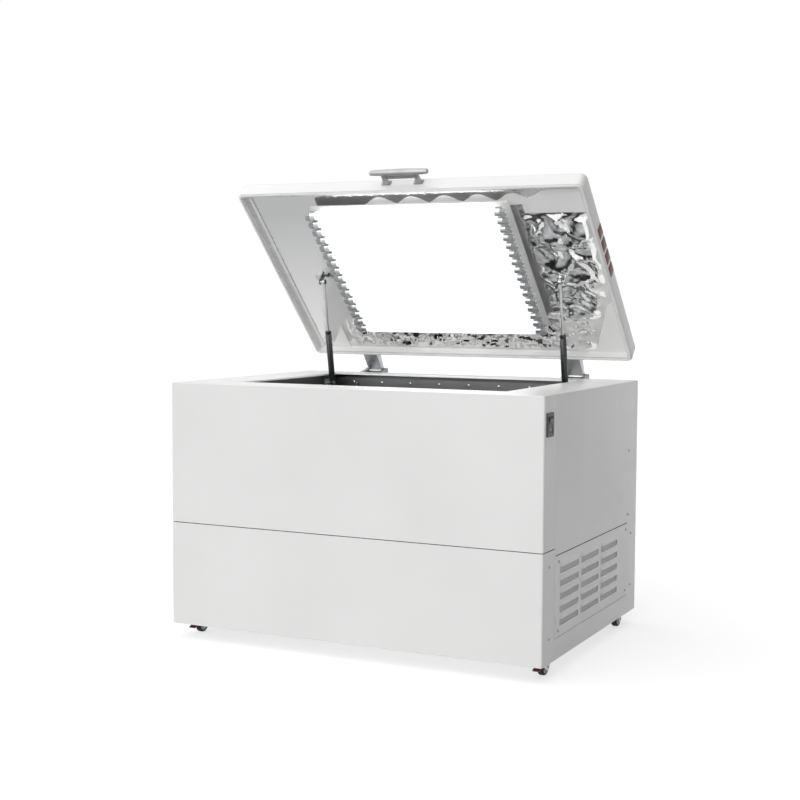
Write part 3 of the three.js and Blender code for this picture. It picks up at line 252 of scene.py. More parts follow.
finishes = {
    "enamel": enamel("whiteEnamel", (0.80, 0.80, 0.795)),
    # The lid's enamel is a paler copy of the cabinet's: painted light on the lid's shell, liner and lamp tray
    "lidEnamel": enamel("lidEnamel", (0.83, 0.83, 0.825)),
    # The trim's white is paler than the lid's: painted light from the lamps on the strips round the film
    "trimEnamel": enamel("trimEnamel", (0.95, 0.95, 0.945)),
    # The chamber's stainless is darkened far below bright steel: painted shade inside the chamber and on the
    # duct cover
    "tub": brushedSheet("tubSteel", (0.15, 0.152, 0.155), 0.36, (1.0, 18.0, 18.0)),
    "tray": brushedSheet("traySteel", (0.22, 0.225, 0.23), 0.3, (1.0, 16.0, 16.0)),
    # The mirror film's dark colour is painted shade in its reflection towards the lid's front edge.
    "mirror": mirrorSheet("mirrorFilm", (0.90, 0.90, 0.895), (0.42, 0.425, 0.425), (0.78, 1.2), (0.28, 0.36)),
    "chrome": machined("chrome", (0.50, 0.505, 0.51), 0.22, 0.004, 0.00001),
    # Satin chrome, its colour also darkened below the other chrome: painted shade in its reflection of the
    # white surroundings
    "handle": machined("satinChrome", (0.36, 0.362, 0.365), 0.34, 0.004, 0.00001),
    "hinge": machined("hingeSteel", (0.30, 0.303, 0.31), 0.42),
    # The dust mat is paler than the white enamel: painted light in the shade behind the louvre slots
    "filter": wovenMat("dustMat", (0.95, 0.955, 0.96), 0.0016),
    "steel": machined("zincSteel", (0.52, 0.53, 0.54), 0.32),
    "aluminium": machined("castAluminium", (0.62, 0.63, 0.64), 0.38),
    "iron": moulded("paintedIron", (0.10, 0.11, 0.115), 0.55, 0.004, 0.0003),
    "blackSteel": moulded("blackLacquer", (0.022, 0.023, 0.025), 0.28, 0.003, 0.00002),
    "blackPlastic": moulded("blackPlastic", (0.018, 0.018, 0.02), 0.42, 0.0012, 0.00004),
    "greyPlastic": moulded("greyPlastic", (0.46, 0.47, 0.48), 0.45, 0.0012, 0.00004),
    "whitePlastic": moulded("whitePlastic", (0.78, 0.785, 0.78), 0.4, 0.0015, 0.00003),
    "redPlastic": moulded("redPlastic", (0.11, 0.016, 0.014), 0.4, 0.0015, 0.00004),
    # White silicone, its colour raised further to lighten the gasket where it sits in shade: partly painted
    # light
    "seal": moulded("sealSilicone", (0.93, 0.93, 0.925), 0.6, 0.0015, 0.0001),
    "belt": moulded("beltRubber", (0.02, 0.02, 0.021), 0.8, 0.0015, 0.0001),
    "foam": moulded("foamBoard", (0.72, 0.66, 0.45), 0.95, 0.006, 0.0006),
    "screen": moulded("screenGlass", (0.012, 0.03, 0.035), 0.12, 0.02, 0.00001),
    "lamp": litGlass("litGlass", (1.0, 1.0, 0.99), 1.8, 0.4, 0.225, 0.282),
}
print("materials made")


# Solids
def grown(span, by):
    return span[0] - by, span[1] + by


def around(middle, half):
    return middle - half, middle + half


# Evenly spaced places whose first and last lie an inset away from the ends
def spaced(low, high, inset, count):
    return [low + inset + (high - low - 2 * inset) * i / (count - 1) for i in range(count)]


def pitched(count, pitch, middle=0):
    return [middle + (i - (count - 1) / 2) * pitch for i in range(count)]


# A profile carried on by its own mirror image
def mirrored(profile):
    return profile + [(radius, -height) for radius, height in reversed(profile)]


def circle(radius, height, steps):
    angles = [2 * pi * i / steps for i in range(steps)]
    return [Vector((radius * cos(angle), radius * sin(angle), height)) for angle in angles]


def roundedBox(xs, ys, radius, z, steps=5):
    left, right = grown(xs, -radius)
    low, high = grown(ys, -radius)
    points = []
    for i, (x, y) in enumerate(((right, high), (left, high), (left, low), (right, low))):
        for step in range(steps + 1):
            angle = (i + step / steps) * pi / 2
            points.append(Vector((x + radius * cos(angle), y + radius * sin(angle), z)))
    return points


# A rounded rectangle across X
def sideLoop(ys, zs, corner, x):
    return [Vector((x, point.x, point.y)) for point in roundedBox(ys, zs, corner, 0, 4)]


def loft(shape, loops, closed=False):
    rows = [[shape.verts.new(point) for point in loop] for loop in loops]
    pairs = list(zip(rows, rows[1:]))
    if closed:
        pairs.append((rows[-1], rows[0]))
    count = len(rows[0])
    for lower, upper in pairs:
        for i in range(count):
            j = (i + 1) % count
            shape.faces.new((lower[i], lower[j], upper[j], upper[i]))
    if not closed:
        shape.faces.new(reversed(rows[0]))
        shape.faces.new(rows[-1])
    return shape


# A profile of (radius, height) points turned about Z, from the axis or back to its own start
def turn(shape, profile, steps, matrix=Matrix.Identity(4), closed=False):
    rings = [circle(radius, height, steps) for radius, height in profile]
    loft(shape, [[matrix @ point for point in ring] for ring in rings], closed)


# A corner list of (x, y, radius) becomes an outline with arcs at its corners.
def roundedOutline(corners, steps=4):
    points = []
    for i, (x, y, radius) in enumerate(corners):
        here = Vector((x, y))
        if radius == 0:
            points.append(here)
            continue
        before = (Vector(corners[i - 1][:2]) - here).normalized()
        after = (Vector(corners[(i + 1) % len(corners)][:2]) - here).normalized()
        half = before.angle(after) / 2
        centre = here + (before + after).normalized() * radius / sin(half)
        start = here + before * (radius / tan(half)) - centre
        sweep = (pi - 2 * half) * (1 if before.cross(after) < 0 else -1)
        for step in range(steps + 1):
            points.append(centre + Matrix.Rotation(sweep * step / steps, 2) @ start)
    return points


# One radius for all four corners, or one each, round from the lowest of both spans
def rectangle(us, vs, radii, steps=4):
    if not isinstance(radii, tuple):
        radii = (radii,) * 4
    places = ((us[0], vs[0]), (us[1], vs[0]), (us[1], vs[1]), (us[0], vs[1]))
    return roundedOutline([(*place, radius) for place, radius in zip(places, radii)], steps)


# Turns a profile's (x, y, z) into (z, x, y), so that it is drawn out along X.
alongX = Matrix(((0, 0, 1, 0), (1, 0, 0, 0), (0, 1, 0, 0), (0, 0, 0, 1)))
# And into (y, z, x), so that it is drawn out along Y.
alongY = Matrix(((0, 1, 0, 0), (0, 0, 1, 0), (1, 0, 0, 0), (0, 0, 0, 1)))


def extrude(shape, outline, start, end, matrix=Matrix.Identity(4)):
    levels = sorted((start, end))
    loft(shape, [[matrix @ Vector((point[0], point[1], level)) for point in outline] for level in levels])


def slab(shape, xs, ys, zs, matrix=Matrix.Identity(4)):
    extrude(shape, rectangle(xs, ys, 0), *zs, matrix)


# The matrix whose Z points along a direction
def facing(place, direction, spin=0.0):
    turned = Vector(direction).to_track_quat("Z", "Y").to_matrix().to_4x4()
    return Matrix.Translation(place) @ turned @ Matrix.Rotation(spin, 4, "Z")


def rod(shape, radius, start, end, steps=24, ease=0.0):
    direction = Vector(end) - Vector(start)
    length = direction.length
    profile = [(radius, 0), (radius, length)]
    if ease:
        profile = [(radius - ease, 0), (radius, ease), (radius, length - ease), (radius - ease, length)]
    turn(shape, profile, steps, facing(start, direction))


# A rod across X, its ends given as distances from the matrix's own place
def crossRod(shape, radius, matrix, start, end, steps, ease=0.0):
    rod(shape, radius, matrix @ Vector((start, 0, 0)), matrix @ Vector((end, 0, 0)), steps, ease)


# A pan-head screw with a crossed recess, its head standing up along the direction
def screw(shape, place, direction, spin, radius, height=2.2 * mm):
    steps = 24
    arm, slot = radius * 0.55, radius * 0.14
    rings = [(radius, 0.0), (radius, height * 0.35), (radius * 0.86, height * 0.8), (radius * 0.66, height)]
    loops = [circle(*ring, steps) for ring in rings]
    for level in (height, height * 0.35):
        cross = []
        for spoke in circle(1.0, 0.0, steps):
            short, long = sorted((abs(spoke.x), abs(spoke.y)))
            reach = arm / long
            if short * reach > slot:
                reach = slot / short
            cross.append(Vector((reach * spoke.x, reach * spoke.y, level)))
        loops.append(cross)
    matrix = facing(place, direction, spin)
    loft(shape, [[matrix @ point for point in loop] for loop in loops])


def makePiece(name, shape, finish, body="cabinet", replaced=(), bevel=0.0, matrix=None, angle=32):
    bmesh.ops.recalc_face_normals(shape, faces=shape.faces)
    mesh = bpy.data.meshes.new(name)
    shape.to_mesh(mesh)
    shape.free()
    if matrix is not None:
        mesh.transform(matrix)
    mesh.materials.append(finishes[finish])
    mesh.shade_smooth()
    mesh.set_sharp_from_angle(angle=radians(angle))
    piece = bpy.data.objects.new(name, mesh)
    addToScene(piece)
    if bevel:
        rounding = piece.modifiers.new("edges", "BEVEL")
        rounding.width = bevel
        rounding.segments = 2
        rounding.limit_method = "ANGLE"
        rounding.angle_limit = radians(35)
        rounding.harden_normals = False
    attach(piece, body)
    if replaced:
        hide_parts(*replaced)
    return piece


# Cuts a hole, then throws the cutter away
def carve(piece, shape):
    bmesh.ops.recalc_face_normals(shape, faces=shape.faces)
    mesh = bpy.data.meshes.new("cutter")
    shape.to_mesh(mesh)
    shape.free()
    cutter = bpy.data.objects.new("cutter", mesh)
    addToScene(cutter)
    bevels = [modifier for modifier in piece.modifiers if modifier.type == "BEVEL"]
    for modifier in bevels:
        modifier.show_viewport = False
    cut = piece.modifiers.new("cut", "BOOLEAN")
    cut.object = cutter
    cut.operation = "DIFFERENCE"
    cut.solver = "EXACT"
    bpy.context.view_layer.update()
    evaluated = piece.evaluated_get(bpy.context.evaluated_depsgraph_get())
    piece.data = bpy.data.meshes.new_from_object(evaluated)
    piece.modifiers.remove(cut)
    piece.data.set_sharp_from_angle(angle=radians(20))
    for modifier in bevels:
        modifier.show_viewport = True
    bpy.data.objects.remove(cutter)


# The lid's parts are drawn closed, about the hinge axis, then swung open with it.
hingeAt = Vector(joints["lid_hinge"]["pos_m"])
openAngle = radians(joints["lid_hinge"]["range_deg"][0])
lidPlace = Matrix.Translation(hingeAt) @ Matrix.Rotation(openAngle, 4, "X")


def lidPiece(name, shape, finish, replaced=(), bevel=0.0, angle=32):
    return makePiece(name, shape, finish, "lid", replaced, bevel, lidPlace, angle)


def lidBox(node):
    places = [lidPlace.inverted() @ vertex.co for vertex in nodes[node].data.vertices]
    return Vector(map(min, zip(*places))), Vector(map(max, zip(*places)))


# Loops of one rounded rectangle, each with its own inset, corner radius and height
def stack(low, high, rings, closed=False, shape=None, steps=6):
    loops = []
    for inset, corner, z in rings:
        xs, ys = grown((low.x, high.x), -inset), grown((low.y, high.y), -inset)
        loops.append(roundedBox(xs, ys, corner, z, steps))
    return loft(shape or bmesh.new(), loops, closed)


# Rings round a quarter turn, from the flat face out to the wall, or back from it
def rollRings(steps, edge, inset, corner, z, shrink=0, rise=1, back=False):
    rings = []
    for step in range(steps + 1):
        angle = step / steps * pi / 2
        across = edge * (1 - sin(angle))
        rings.append((inset + across, corner - shrink * across, z + rise * edge * (1 - cos(angle))))
    return rings[::-1] if back else rings


# A pressed pan: rolled inside and outside, with the rings of its rim between
def panRings(low, roll, sheet, corner, steps, rim):
    outer = corner + sheet
    foot = [(0, outer, low.z + roll), (roll * 0.3, outer, low.z + roll * 0.3), (roll, outer, low.z)]
    return rollRings(steps, roll, sheet, corner, low.z + sheet) + rim + foot


# Cabinet sheets
cabinetLook = inMm(
    sheet=2, foldRadius=5, sideFold=1.2, edge=0.5,
    rimRadius=2.5, rimDepth=5, leastCorner=1, mouthCorner=10, mouthFold=5,
    sealSet=4, sealDepth=6, switchInset=4, ventLap=6, cutBehind=20, cutBefore=5,
)
bezelLow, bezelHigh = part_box("switch_bezel")
ventLow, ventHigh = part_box("right_vent_panel")


# Corners of a strip folded back at both sides, seen from above
def channel(xs, ys, thick, radius, innerRadius):
    (left, right), (front, back) = xs, ys
    return [
        (left, front, radius),
        (right, front, radius),
        (right, back, 0),
        (right - thick, back, 0),
        (right - thick, front + thick, innerRadius),
        (left + thick, front + thick, innerRadius),
        (left + thick, back, 0),
        (left, back, 0),
    ]


def cabinetSheet(name, node, outline, hole):
    low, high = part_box(node)
    shape = bmesh.new()
    extrude(shape, outline, low.z, high.z)
    piece = makePiece(name, shape, "enamel", replaced=[node], bevel=cabinetLook["edge"], angle=20)
    if hole:
        cutter = bmesh.new()
        slab(cutter, *hole)
        carve(piece, cutter)


def frontSheet(name, node, hole=None):
    low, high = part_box(node)
    sheet, radius = cabinetLook["sheet"], cabinetLook["foldRadius"]
    corners = channel((low.x, high.x), (low.y, high.y), sheet, radius, radius - sheet)
    cabinetSheet(name, node, roundedOutline(corners, 6), hole)


def sideSheet(name, node, hole=None):
    low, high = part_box(node)
    radius = cabinetLook["sideFold"]
    outer, inner = (high.x, low.x) if high.x > 0 else (low.x, high.x)
    corners = [(outer, low.y, radius), (outer, high.y, radius), (inner, high.y, 0), (inner, low.y, 0)]
    cabinetSheet(name, node, roundedOutline(corners), hole)


# A hole through the right side, smaller than the box that covers it
def sideHole(back, low, high, inset):
    depths = (back - cabinetLook["cutBehind"], high.x + cabinetLook["cutBefore"])
    return depths, grown((low.y, high.y), -inset), grown((low.z, high.z), -inset)


# Dark strip behind the seam: painted shade that shows the seam as a thin dark line across the front
def seamSeal():
    look = read(cabinetLook)
    low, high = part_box("front_upper_panel")
    xs = grown((low.x, high.x), -look.sealSet)
    corners = channel(xs, (low.y + look.sealSet, high.y), look.sealDepth, look.sealSet, 0)
    shape = bmesh.new()
    seam = (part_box("front_lower_panel")[1].z, low.z)
    extrude(shape, roundedOutline(corners), *grown(seam, look.sealDepth))
    makePiece("seamSeal", shape, "belt")


# The chamber's mouth, read from the deck's inner fold
def rimMouth():
    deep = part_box("top_rim")[1].z - cabinetLook["rimDepth"]
    inside = [vertex.co for vertex in nodes["top_rim"].data.vertices if vertex.co.z < deep]
    xs = sorted({round(co.x, 5) for co in inside})
    ys = sorted({round(co.y, 5) for co in inside})
    return (xs[1], xs[-2]), (ys[1], ys[-2])


# The deck's outer edge drops to the panels and its inner edge rolls down into the chamber.
def deckSheet():
    look = read(cabinetLook)
    low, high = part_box("top_rim")
    xs, ys = rimMouth()
    radius = look.rimRadius
    angles = [step / 4 * pi / 2 for step in range(5)]
    outer = [(0, -look.sheet), (0, -radius)]
    outer += [(radius * (1 - cos(angle)), radius * (sin(angle) - 1)) for angle in angles[1:]]
    loops = []
    for inset, drop in outer:
        spans = grown((low.x, high.x), -inset), grown((low.y, high.y), -inset)
        loops.append(roundedBox(*spans, max(look.foldRadius - inset, look.leastCorner), high.z + drop))
    inner = [(radius * (1 - sin(angle)), radius * (cos(angle) - 1)) for angle in angles]
    inner += [(0, -look.mouthFold), (look.sheet, -look.mouthFold), (look.sheet, -look.sheet)]
    for out, drop in inner:
        loops.append(roundedBox(grown(xs, out), grown(ys, out), look.mouthCorner + out, high.z + drop))
    makePiece("deck", loft(bmesh.new(), loops, closed=True), "enamel", replaced=["top_rim"], angle=25)


frontSheet("lowerFront", "front_lower_panel")
switchHole = sideHole(bezelHigh.x, bezelLow, bezelHigh, cabinetLook["switchInset"])
frontSheet("upperFront", "front_upper_panel", switchHole)
seamSeal()
sideSheet("leftSide", "left_side_panel")
ventHole = sideHole(ventLow.x, ventLow, ventHigh, cabinetLook["ventLap"])
sideSheet("rightSide", "right_side_panel", ventHole)
deckSheet()
print("cabinet sheets made")


# Louvred vent: tall slots under short pressed hoods, dark strips above and below that paint the shadow in the
# gaps there, a woven dust mat behind whose pale colour paints light into the slots' shade
ventLook = {
    "rows": 5,
    "columns": ((-306, -161), (-141, 4), (24, 172)),
    "hoodEnd": 0.1,
    **inMm(
        sheet=1.5, first=35.7, pitch=33.6, slot=19, cut=5, corner=3, edge=0.4,
        hoodHeight=11, hoodLap=1.6, hoodDepth=4.2, hoodSheet=1.2,
        bead=1.3, beadGap=0.05, beadBack=0.4, beadFront=0.8,
        filterBack=1, filter=1.4, filterInset=7,
    ),
}


# The slots' spans along Y and the height of their middles
def louvreCells():
    look = read(ventLook)
    for row in range(look.rows):
        for start, end in look.columns:
            yield (start * mm, end * mm), ventLow.z + look.first + row * look.pitch


# The hood stands out most at its open lower lip and runs back into the sheet above and at both ends.
def louvreHood(shape, face, ys, z):
    look = read(ventLook)
    along, up = 20, 6
    layers = ([], [])
    for i in range(along + 1):
        share = i / along
        swell = sin(pi / 2 * min(1, min(share, 1 - share) / look.hoodEnd)) ** 0.6
        for layer, depth in zip(layers, (look.hoodDepth, look.hoodDepth - look.hoodSheet)):
            column = []
            for j in range(up + 1):
                rise = j / up
                out = depth * swell * cos(rise * pi / 2) ** 0.8
                place = (face + out, ys[0] + (ys[1] - ys[0]) * share, z + rise * look.hoodHeight)
                column.append(shape.verts.new(place))
            layer.append(column)
    outside, inside = layers
    for layer, flip in ((outside, False), (inside, True)):
        for left, right in zip(layer, layer[1:]):
            for j in range(up):
                corners = (left[j], right[j], right[j + 1], left[j + 1])
                shape.faces.new(reversed(corners) if flip else corners)
    for i in range(along):
        shape.faces.new((outside[i + 1][0], outside[i][0], inside[i][0], inside[i + 1][0]))
        shape.faces.new((outside[i][up], outside[i + 1][up], inside[i + 1][up], inside[i][up]))
    for i in (0, along):
        for j in range(up):
            shape.faces.new((outside[i][j], outside[i][j + 1], inside[i][j + 1], inside[i][j]))


def ventPanel():
    look = read(ventLook)
    inner = ventLow.x
    outer = inner + look.sheet
    ys, zs = (ventLow.y, ventHigh.y), (ventLow.z, ventHigh.z)
    shape = loft(bmesh.new(), [sideLoop(ys, zs, look.corner, x) for x in (inner, outer)])
    plate = makePiece("ventSheet", shape, "enamel", replaced=["right_vent_panel"], bevel=look.edge, angle=20)
    cutter, hoods = bmesh.new(), bmesh.new()
    for span, z in louvreCells():
        cut = around(z, look.slot / 2)
        loft(cutter, [sideLoop(span, cut, look.corner, x) for x in grown((inner, outer), look.cut)])
        louvreHood(hoods, outer, span, z + look.slot / 2 - look.hoodLap)
    carve(plate, cutter)
    makePiece("louvreHoods", hoods, "enamel", angle=40)
    depths = (inner - look.beadBack, inner + look.beadFront)
    # The dark strips above and below are painted shadow in the gaps there; the jambs at the ends are plain
    # enamel
    for name, finish, edges in (("ventJambs", "enamel", ys), ("ventBead", "belt", zs)):
        near, far = grown(edges, look.beadGap), grown(edges, look.bead)
        strips = bmesh.new()
        for strip in ((far[0], near[0]), (near[1], far[1])):
            spans = (strip, zs) if edges is ys else (ys, strip)
            loft(strips, [sideLoop(*spans, look.beadGap, x) for x in depths])
        makePiece(name, strips, finish)
    # Its pale colour paints light into the slots, where they would be in shade
    back = inner - look.filterBack - look.filter
    spans = grown(ys, -look.filterInset), grown(zs, -look.filterInset)
    mat = loft(bmesh.new(), [sideLoop(*spans, look.corner, x) for x in (back, back + look.filter)])
    makePiece("dustFilter", mat, "filter", bevel=look.edge)


ventPanel()


# Small screws in both sides, in metres behind the front face and above the floor, and in the vent's corners
sideScrews = {
    "places": (
        (0.698, 0.518), (0.697, 0.333), (0.729, 0.274), (0.730, 0.122), (0.044, 0.288), (0.044, 0.106),
    ),
    "leftCount": 4,
    **inMm(radius=3.6, ventInset=16),
}


def placeSideScrews():
    look = read(sideScrews)
    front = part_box("front_lower_panel")[0].y
    shape = bmesh.new()
    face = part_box("right_side_panel")[1].x
    for behind, above in look.places:
        screw(shape, (face, front + behind, above), (1, 0, 0), behind * 9, look.radius)
    face = ventLow.x + ventLook["sheet"]
    for y in grown((ventLow.y, ventHigh.y), -look.ventInset):
        for z in grown((ventLow.z, ventHigh.z), -look.ventInset):
            screw(shape, (face, y, z), (1, 0, 0), y * 7, look.radius)
    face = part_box("left_side_panel")[0].x
    for behind, above in look.places[:look.leftCount]:
        screw(shape, (face, front + behind, above), (-1, 0, 0), behind * 9, look.radius)
    makePiece("sideScrews", shape, "hinge")


placeSideScrews()


# Screws round the edge of the rear panel
rearLook = {"columns": 5, "rows": 4, **inMm(radius=4, inset=14)}


def placeRearScrews():
    look = read(rearLook)
    low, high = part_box("rear_panel")
    shape = bmesh.new()
    for column, x in enumerate(spaced(low.x, high.x, look.inset, look.columns)):
        for z in grown((low.z, high.z), -look.inset):
            screw(shape, (x, high.y, z), (0, 1, 0), column, look.radius)
    for row in range(1, look.rows):
        z = low.z + (high.z - low.z) * row / look.rows
        for x in grown((low.x, high.x), -look.inset):
            screw(shape, (x, high.y, z), (0, 1, 0), row, look.radius)
    makePiece("rearScrews", shape, "steel")


placeRearScrews()
print("cabinet dressed")


# Bezel of the mains switch: rounded edges outside, a well for the rocker inside
bezelLook = inMm(
    corner=4, proud=3, edge=1.2, wellCorner=1.5, wellHalf=19.6, wellDepth=14,
    wellEdge=1, wellFoot=0.2, wellDrop=0.8, slack=0.6,
)


def switchBezel():
    look = read(bezelLook)
    face = bezelHigh.x
    back = face - look.proud
    ys, zs = (bezelLow.y, bezelHigh.y), (bezelLow.z, bezelHigh.z)
    rockerLow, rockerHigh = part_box("power_switch")
    wellY = grown((rockerLow.y, rockerHigh.y), look.slack)
    wellZ = around(joints["power_switch_rock"]["pos_m"][2], look.wellHalf)
    slight = look.edge / 3
    loops = []
    for inset, x in ((0, back), (0, face - look.edge), (slight, face - slight), (look.edge, face)):
        loops.append(sideLoop(grown(ys, -inset), grown(zs, -inset), look.corner, x))
    for out, x in ((look.wellEdge, face), (look.wellFoot, face - look.wellDrop), (0, back - look.wellDepth)):
        loops.append(sideLoop(grown(wellY, out), grown(wellZ, out), look.wellCorner, x))
    makePiece("switchBezel", loft(bmesh.new(), loops), "blackPlastic", replaced=["switch_bezel"], angle=40)


switchBezel()
print("switch made")


# Lid: an outer shell with a folded lip, a white liner let into its underside and a bulb seal
lidLook = inMm(
    corner=18, topEdge=6, lowEdge=2, lip=12, lipCorner=8, wall=2,
    linerGap=0.3, linerSheet=1.5, linerFillet=7,
    sealCorner=16, sealInnerCorner=8, sealWidth=8,
)
shellLow, shellHigh = lidBox("lid_shell")
linerBack = lidBox("lid_insulation")[0].z - lidLook["linerGap"]
linerCeiling = linerBack - lidLook["linerSheet"]


def lidShell():
    look = read(lidLook)
    floor, inside = shellLow.z + look.wall, look.corner - look.wall
    rings = rollRings(4, look.topEdge, 0, look.corner, shellHigh.z, 1, -1)
    rings += rollRings(3, look.lowEdge, 0, look.corner, shellLow.z, 1, back=True)
    rings += [(look.lip, look.lipCorner, shellLow.z), (look.lip, look.lipCorner, floor)]
    rings += [(look.wall, inside, floor), (look.wall, inside, shellHigh.z - look.wall)]
    lidPiece("lidShell", stack(shellLow, shellHigh, rings), "lidEnamel", ["lid_shell"], angle=25)


def lidLiner():
    look = read(lidLook)
    outer = look.lip + look.linerGap
    inner = outer + look.linerSheet
    rings = rollRings(4, look.linerFillet, inner, look.lipCorner, linerCeiling, rise=-1)
    rings.append((inner, look.lipCorner - look.linerSheet, shellLow.z))
    rings += [(outer, look.lipCorner, z) for z in (shellLow.z, linerBack)]
    lidPiece("lidLiner", stack(shellLow, shellHigh, rings), "lidEnamel", ["lid_liner"], angle=25)


def lidGasket():
    look = read(lidLook)
    low, high = lidBox("lid_gasket")
    rings = []
    steps = 10
    for step in range(steps):
        angle = 2 * pi * step / steps
        inset = look.sealWidth / 2 * (1 - cos(angle))
        share = inset / look.sealWidth
        corner = look.sealCorner * (1 - share) + look.sealInnerCorner * share
        rings.append((inset, corner, (low.z + high.z) / 2 + (high.z - low.z) / 2 * sin(angle)))
    lidPiece("lidGasket", stack(low, high, rings, closed=True), "seal", ["lid_gasket"], angle=60)


# Mirror film over the liner's ceiling, crumpled beside the lamps on the right and more finely behind them
filmLook = {
    "columns": 210,
    "rows": 130,
    "cell": 20.0,
    "rearCell": 46.0,
    "cornerSlope": 0.387,
    **inMm(
        thick=0.4, back=0.05, calm=0.5, swell=14, rearSwell=12, margin=4, edge=14, blend=25,
        wildRight=305, wildRear=-225, wildLeft=-390, frontCalm=-637, cornerX=492, cornerY=-289,
    ),
}


def shareBetween(value, start, width):
    return min(1.0, max(0.0, (value - start) / width))


# How crumpled the film is at a point, on the right and at the rear: flat by its edges and in the corners
def crumpleShares(x, y, margin):
    look = read(filmLook)
    right = shareBetween(x, look.wildRight, look.blend) * shareBetween(y, look.frontCalm, look.blend)
    rear = shareBetween(y, look.wildRear, look.blend) * shareBetween(x, look.wildLeft, look.blend)
    corner = look.cornerX - look.cornerSlope * (y - look.cornerY) - x
    calm = shareBetween(corner, 0.0, look.blend) * shareBetween(margin, look.margin, look.edge)
    return right * calm, rear * (1 - right) * calm


# Round cells with sharp ridges between them, about one unit across
def cells(point):
    warp = Vector((noise.noise(point * 0.7), noise.noise(point * 0.7 + Vector((9, 4, 2))), 0)) * 0.5
    place = point + warp
    return noise.voronoi(place)[0][0] ** 1.8 + 0.35 * noise.voronoi(place * 2.1)[0][0] ** 1.8


def mirrorFilm():
    look = read(filmLook)
    inset = lidLook["lip"] + lidLook["linerGap"] + lidLook["linerSheet"] + lidLook["linerFillet"] * 0.5
    left, right = grown((shellLow.x, shellHigh.x), -inset)
    front, rear = grown((shellLow.y, shellHigh.y), -inset)
    shape = bmesh.new()
    grid = []
    for row in range(look.rows + 1):
        y = front + (rear - front) * row / look.rows
        points = []
        for column in range(look.columns + 1):
            x = left + (right - left) * column / look.columns
            atRight, atRear = crumpleShares(x, y, min(x - left, right - x, y - front, rear - y))
            flat = Vector((x, y, 0.3))
            drop = look.calm * (0.5 + 0.5 * noise.noise(Vector((x, y, 0.7)) * 6.0))
            if atRight > 0:
                drop += look.swell * atRight * cells(flat * look.cell)
            if atRear > 0:
                drop += look.rearSwell * atRear * cells(flat * look.rearCell)
            points.append(shape.verts.new((x, y, linerCeiling - look.thick - drop)))
        grid.append(points)
    for lower, upper in zip(grid, grid[1:]):
        for i in range(look.columns):
            shape.faces.new((lower[i], lower[i + 1], upper[i + 1], upper[i]))
    rim = grid[0][:-1] + [points[-1] for points in grid[:-1]]
    rim += grid[-1][:0:-1] + [points[0] for points in reversed(grid[1:])]
    back = [shape.verts.new((vertex.co.x, vertex.co.y, linerCeiling - look.back)) for vertex in rim]
    for i in range(len(rim)):
        j = (i + 1) % len(rim)
        shape.faces.new((rim[i], back[i], back[j], rim[j]))
    shape.faces.new(back)
    lidPiece("mirrorFilm", shape, "mirror", angle=20)


# White strips that hold the film down: scalloped along the front, plain on the left, gussets in the rear
# corners. Their outlines are in millimetres across the closed lid, the rest of the lengths too.
trimLook = {
    "humps": 5,
    "start": -138,
    "pitch": 101,
    "base": -672,
    "strip": 16,
    "height": 25,
    "right": 511,
    "front": -724,
    "inner": -641,
    "step": 336,
    "tail": ((0, 28), (34, 8), (60, 0)),
    "patches": (
        ((494, -286), (511, -296), (511, -93), (418, -93)),
        ((-406, -192), (-408, -93), (-470, -93)),
        ((-514, -734), (-502, -734), (-502, -95), (-514, -95)),
    ),
    "under": 1.3,
    "sheet": 1.2,
    "edge": 0.3,
}


def filmTrim():
    look = read(trimLook)
    outline = []
    steps = 12
    for step in range(look.humps * steps):
        wave = look.height * sin(pi * (step % steps) / steps) ** 1.4
        outline.append((look.start + look.pitch * step / steps, look.base - look.strip - wave))
    end = look.start + look.pitch * look.humps
    outline += [(end + x, look.front + y) for x, y in look.tail]
    outline += [(look.right, look.front), (look.right, look.inner)]
    outline += [(look.step, look.inner), (look.step, look.base), (look.start, look.base)]
    top = linerCeiling - look.under * mm
    shape = bmesh.new()
    for corners in (outline, *look.patches):
        extrude(shape, [(x * mm, y * mm) for x, y in corners], top - look.sheet * mm, top)
    # The strips' extra-pale enamel is painted light from the lamps
    lidPiece("filmTrim", shape, "trimEnamel", bevel=look.edge * mm)


lidShell()
lidLiner()
mirrorFilm()
filmTrim()
lidGasket()
print("lid made")


# Lamp bank: a white tray, sixteen tubes with metal caps and a holder at each end of every tube
lampLook = {
    "count": 16,
    "holderFoot": 0.62,
    "slimAcross": 0.8,
    "slimUp": 0.86,
    **inMm(
        radius=13, wall=1.2, cap=16, capRadius=12.9, capEdge=0.8, neck=4,
        holderHalf=10, holderDepth=14, holderGap=0.3, holderEdge=0.9,
        trayEdge=3, trayCorner=6, trayDepth=24, trayRise=2, trayRim=12, trayLean=44,
    ),
}


# Round below the tube and straight up to the tray, with a slimmer half further out
def lampHolder(shape, y, z, start, side):
    look = read(lampLook)
    half = look.holderHalf
    bottom = lidBox("lamp_tray")[0].z
    top = bottom + look.wall
    steps = 10
    outline = [(y + half, top), (y + half, z)]
    for step in range(1, steps):
        angle = pi * step / steps
        outline.append((y + half * cos(angle), z - (z - bottom) * sin(angle)))
    outline += [(y - half, z), (y - half, top)]
    foot = start + look.holderDepth * look.holderFoot
    extrude(shape, outline, side * start, side * foot, alongX)
    slim = [(y + (across - y) * look.slimAcross, z + (up - z) * look.slimUp) for across, up in outline]
    slim[0], slim[-1] = (slim[0][0], top), (slim[-1][0], top)
    extrude(shape, slim, side * foot, side * (start + look.holderDepth), alongX)


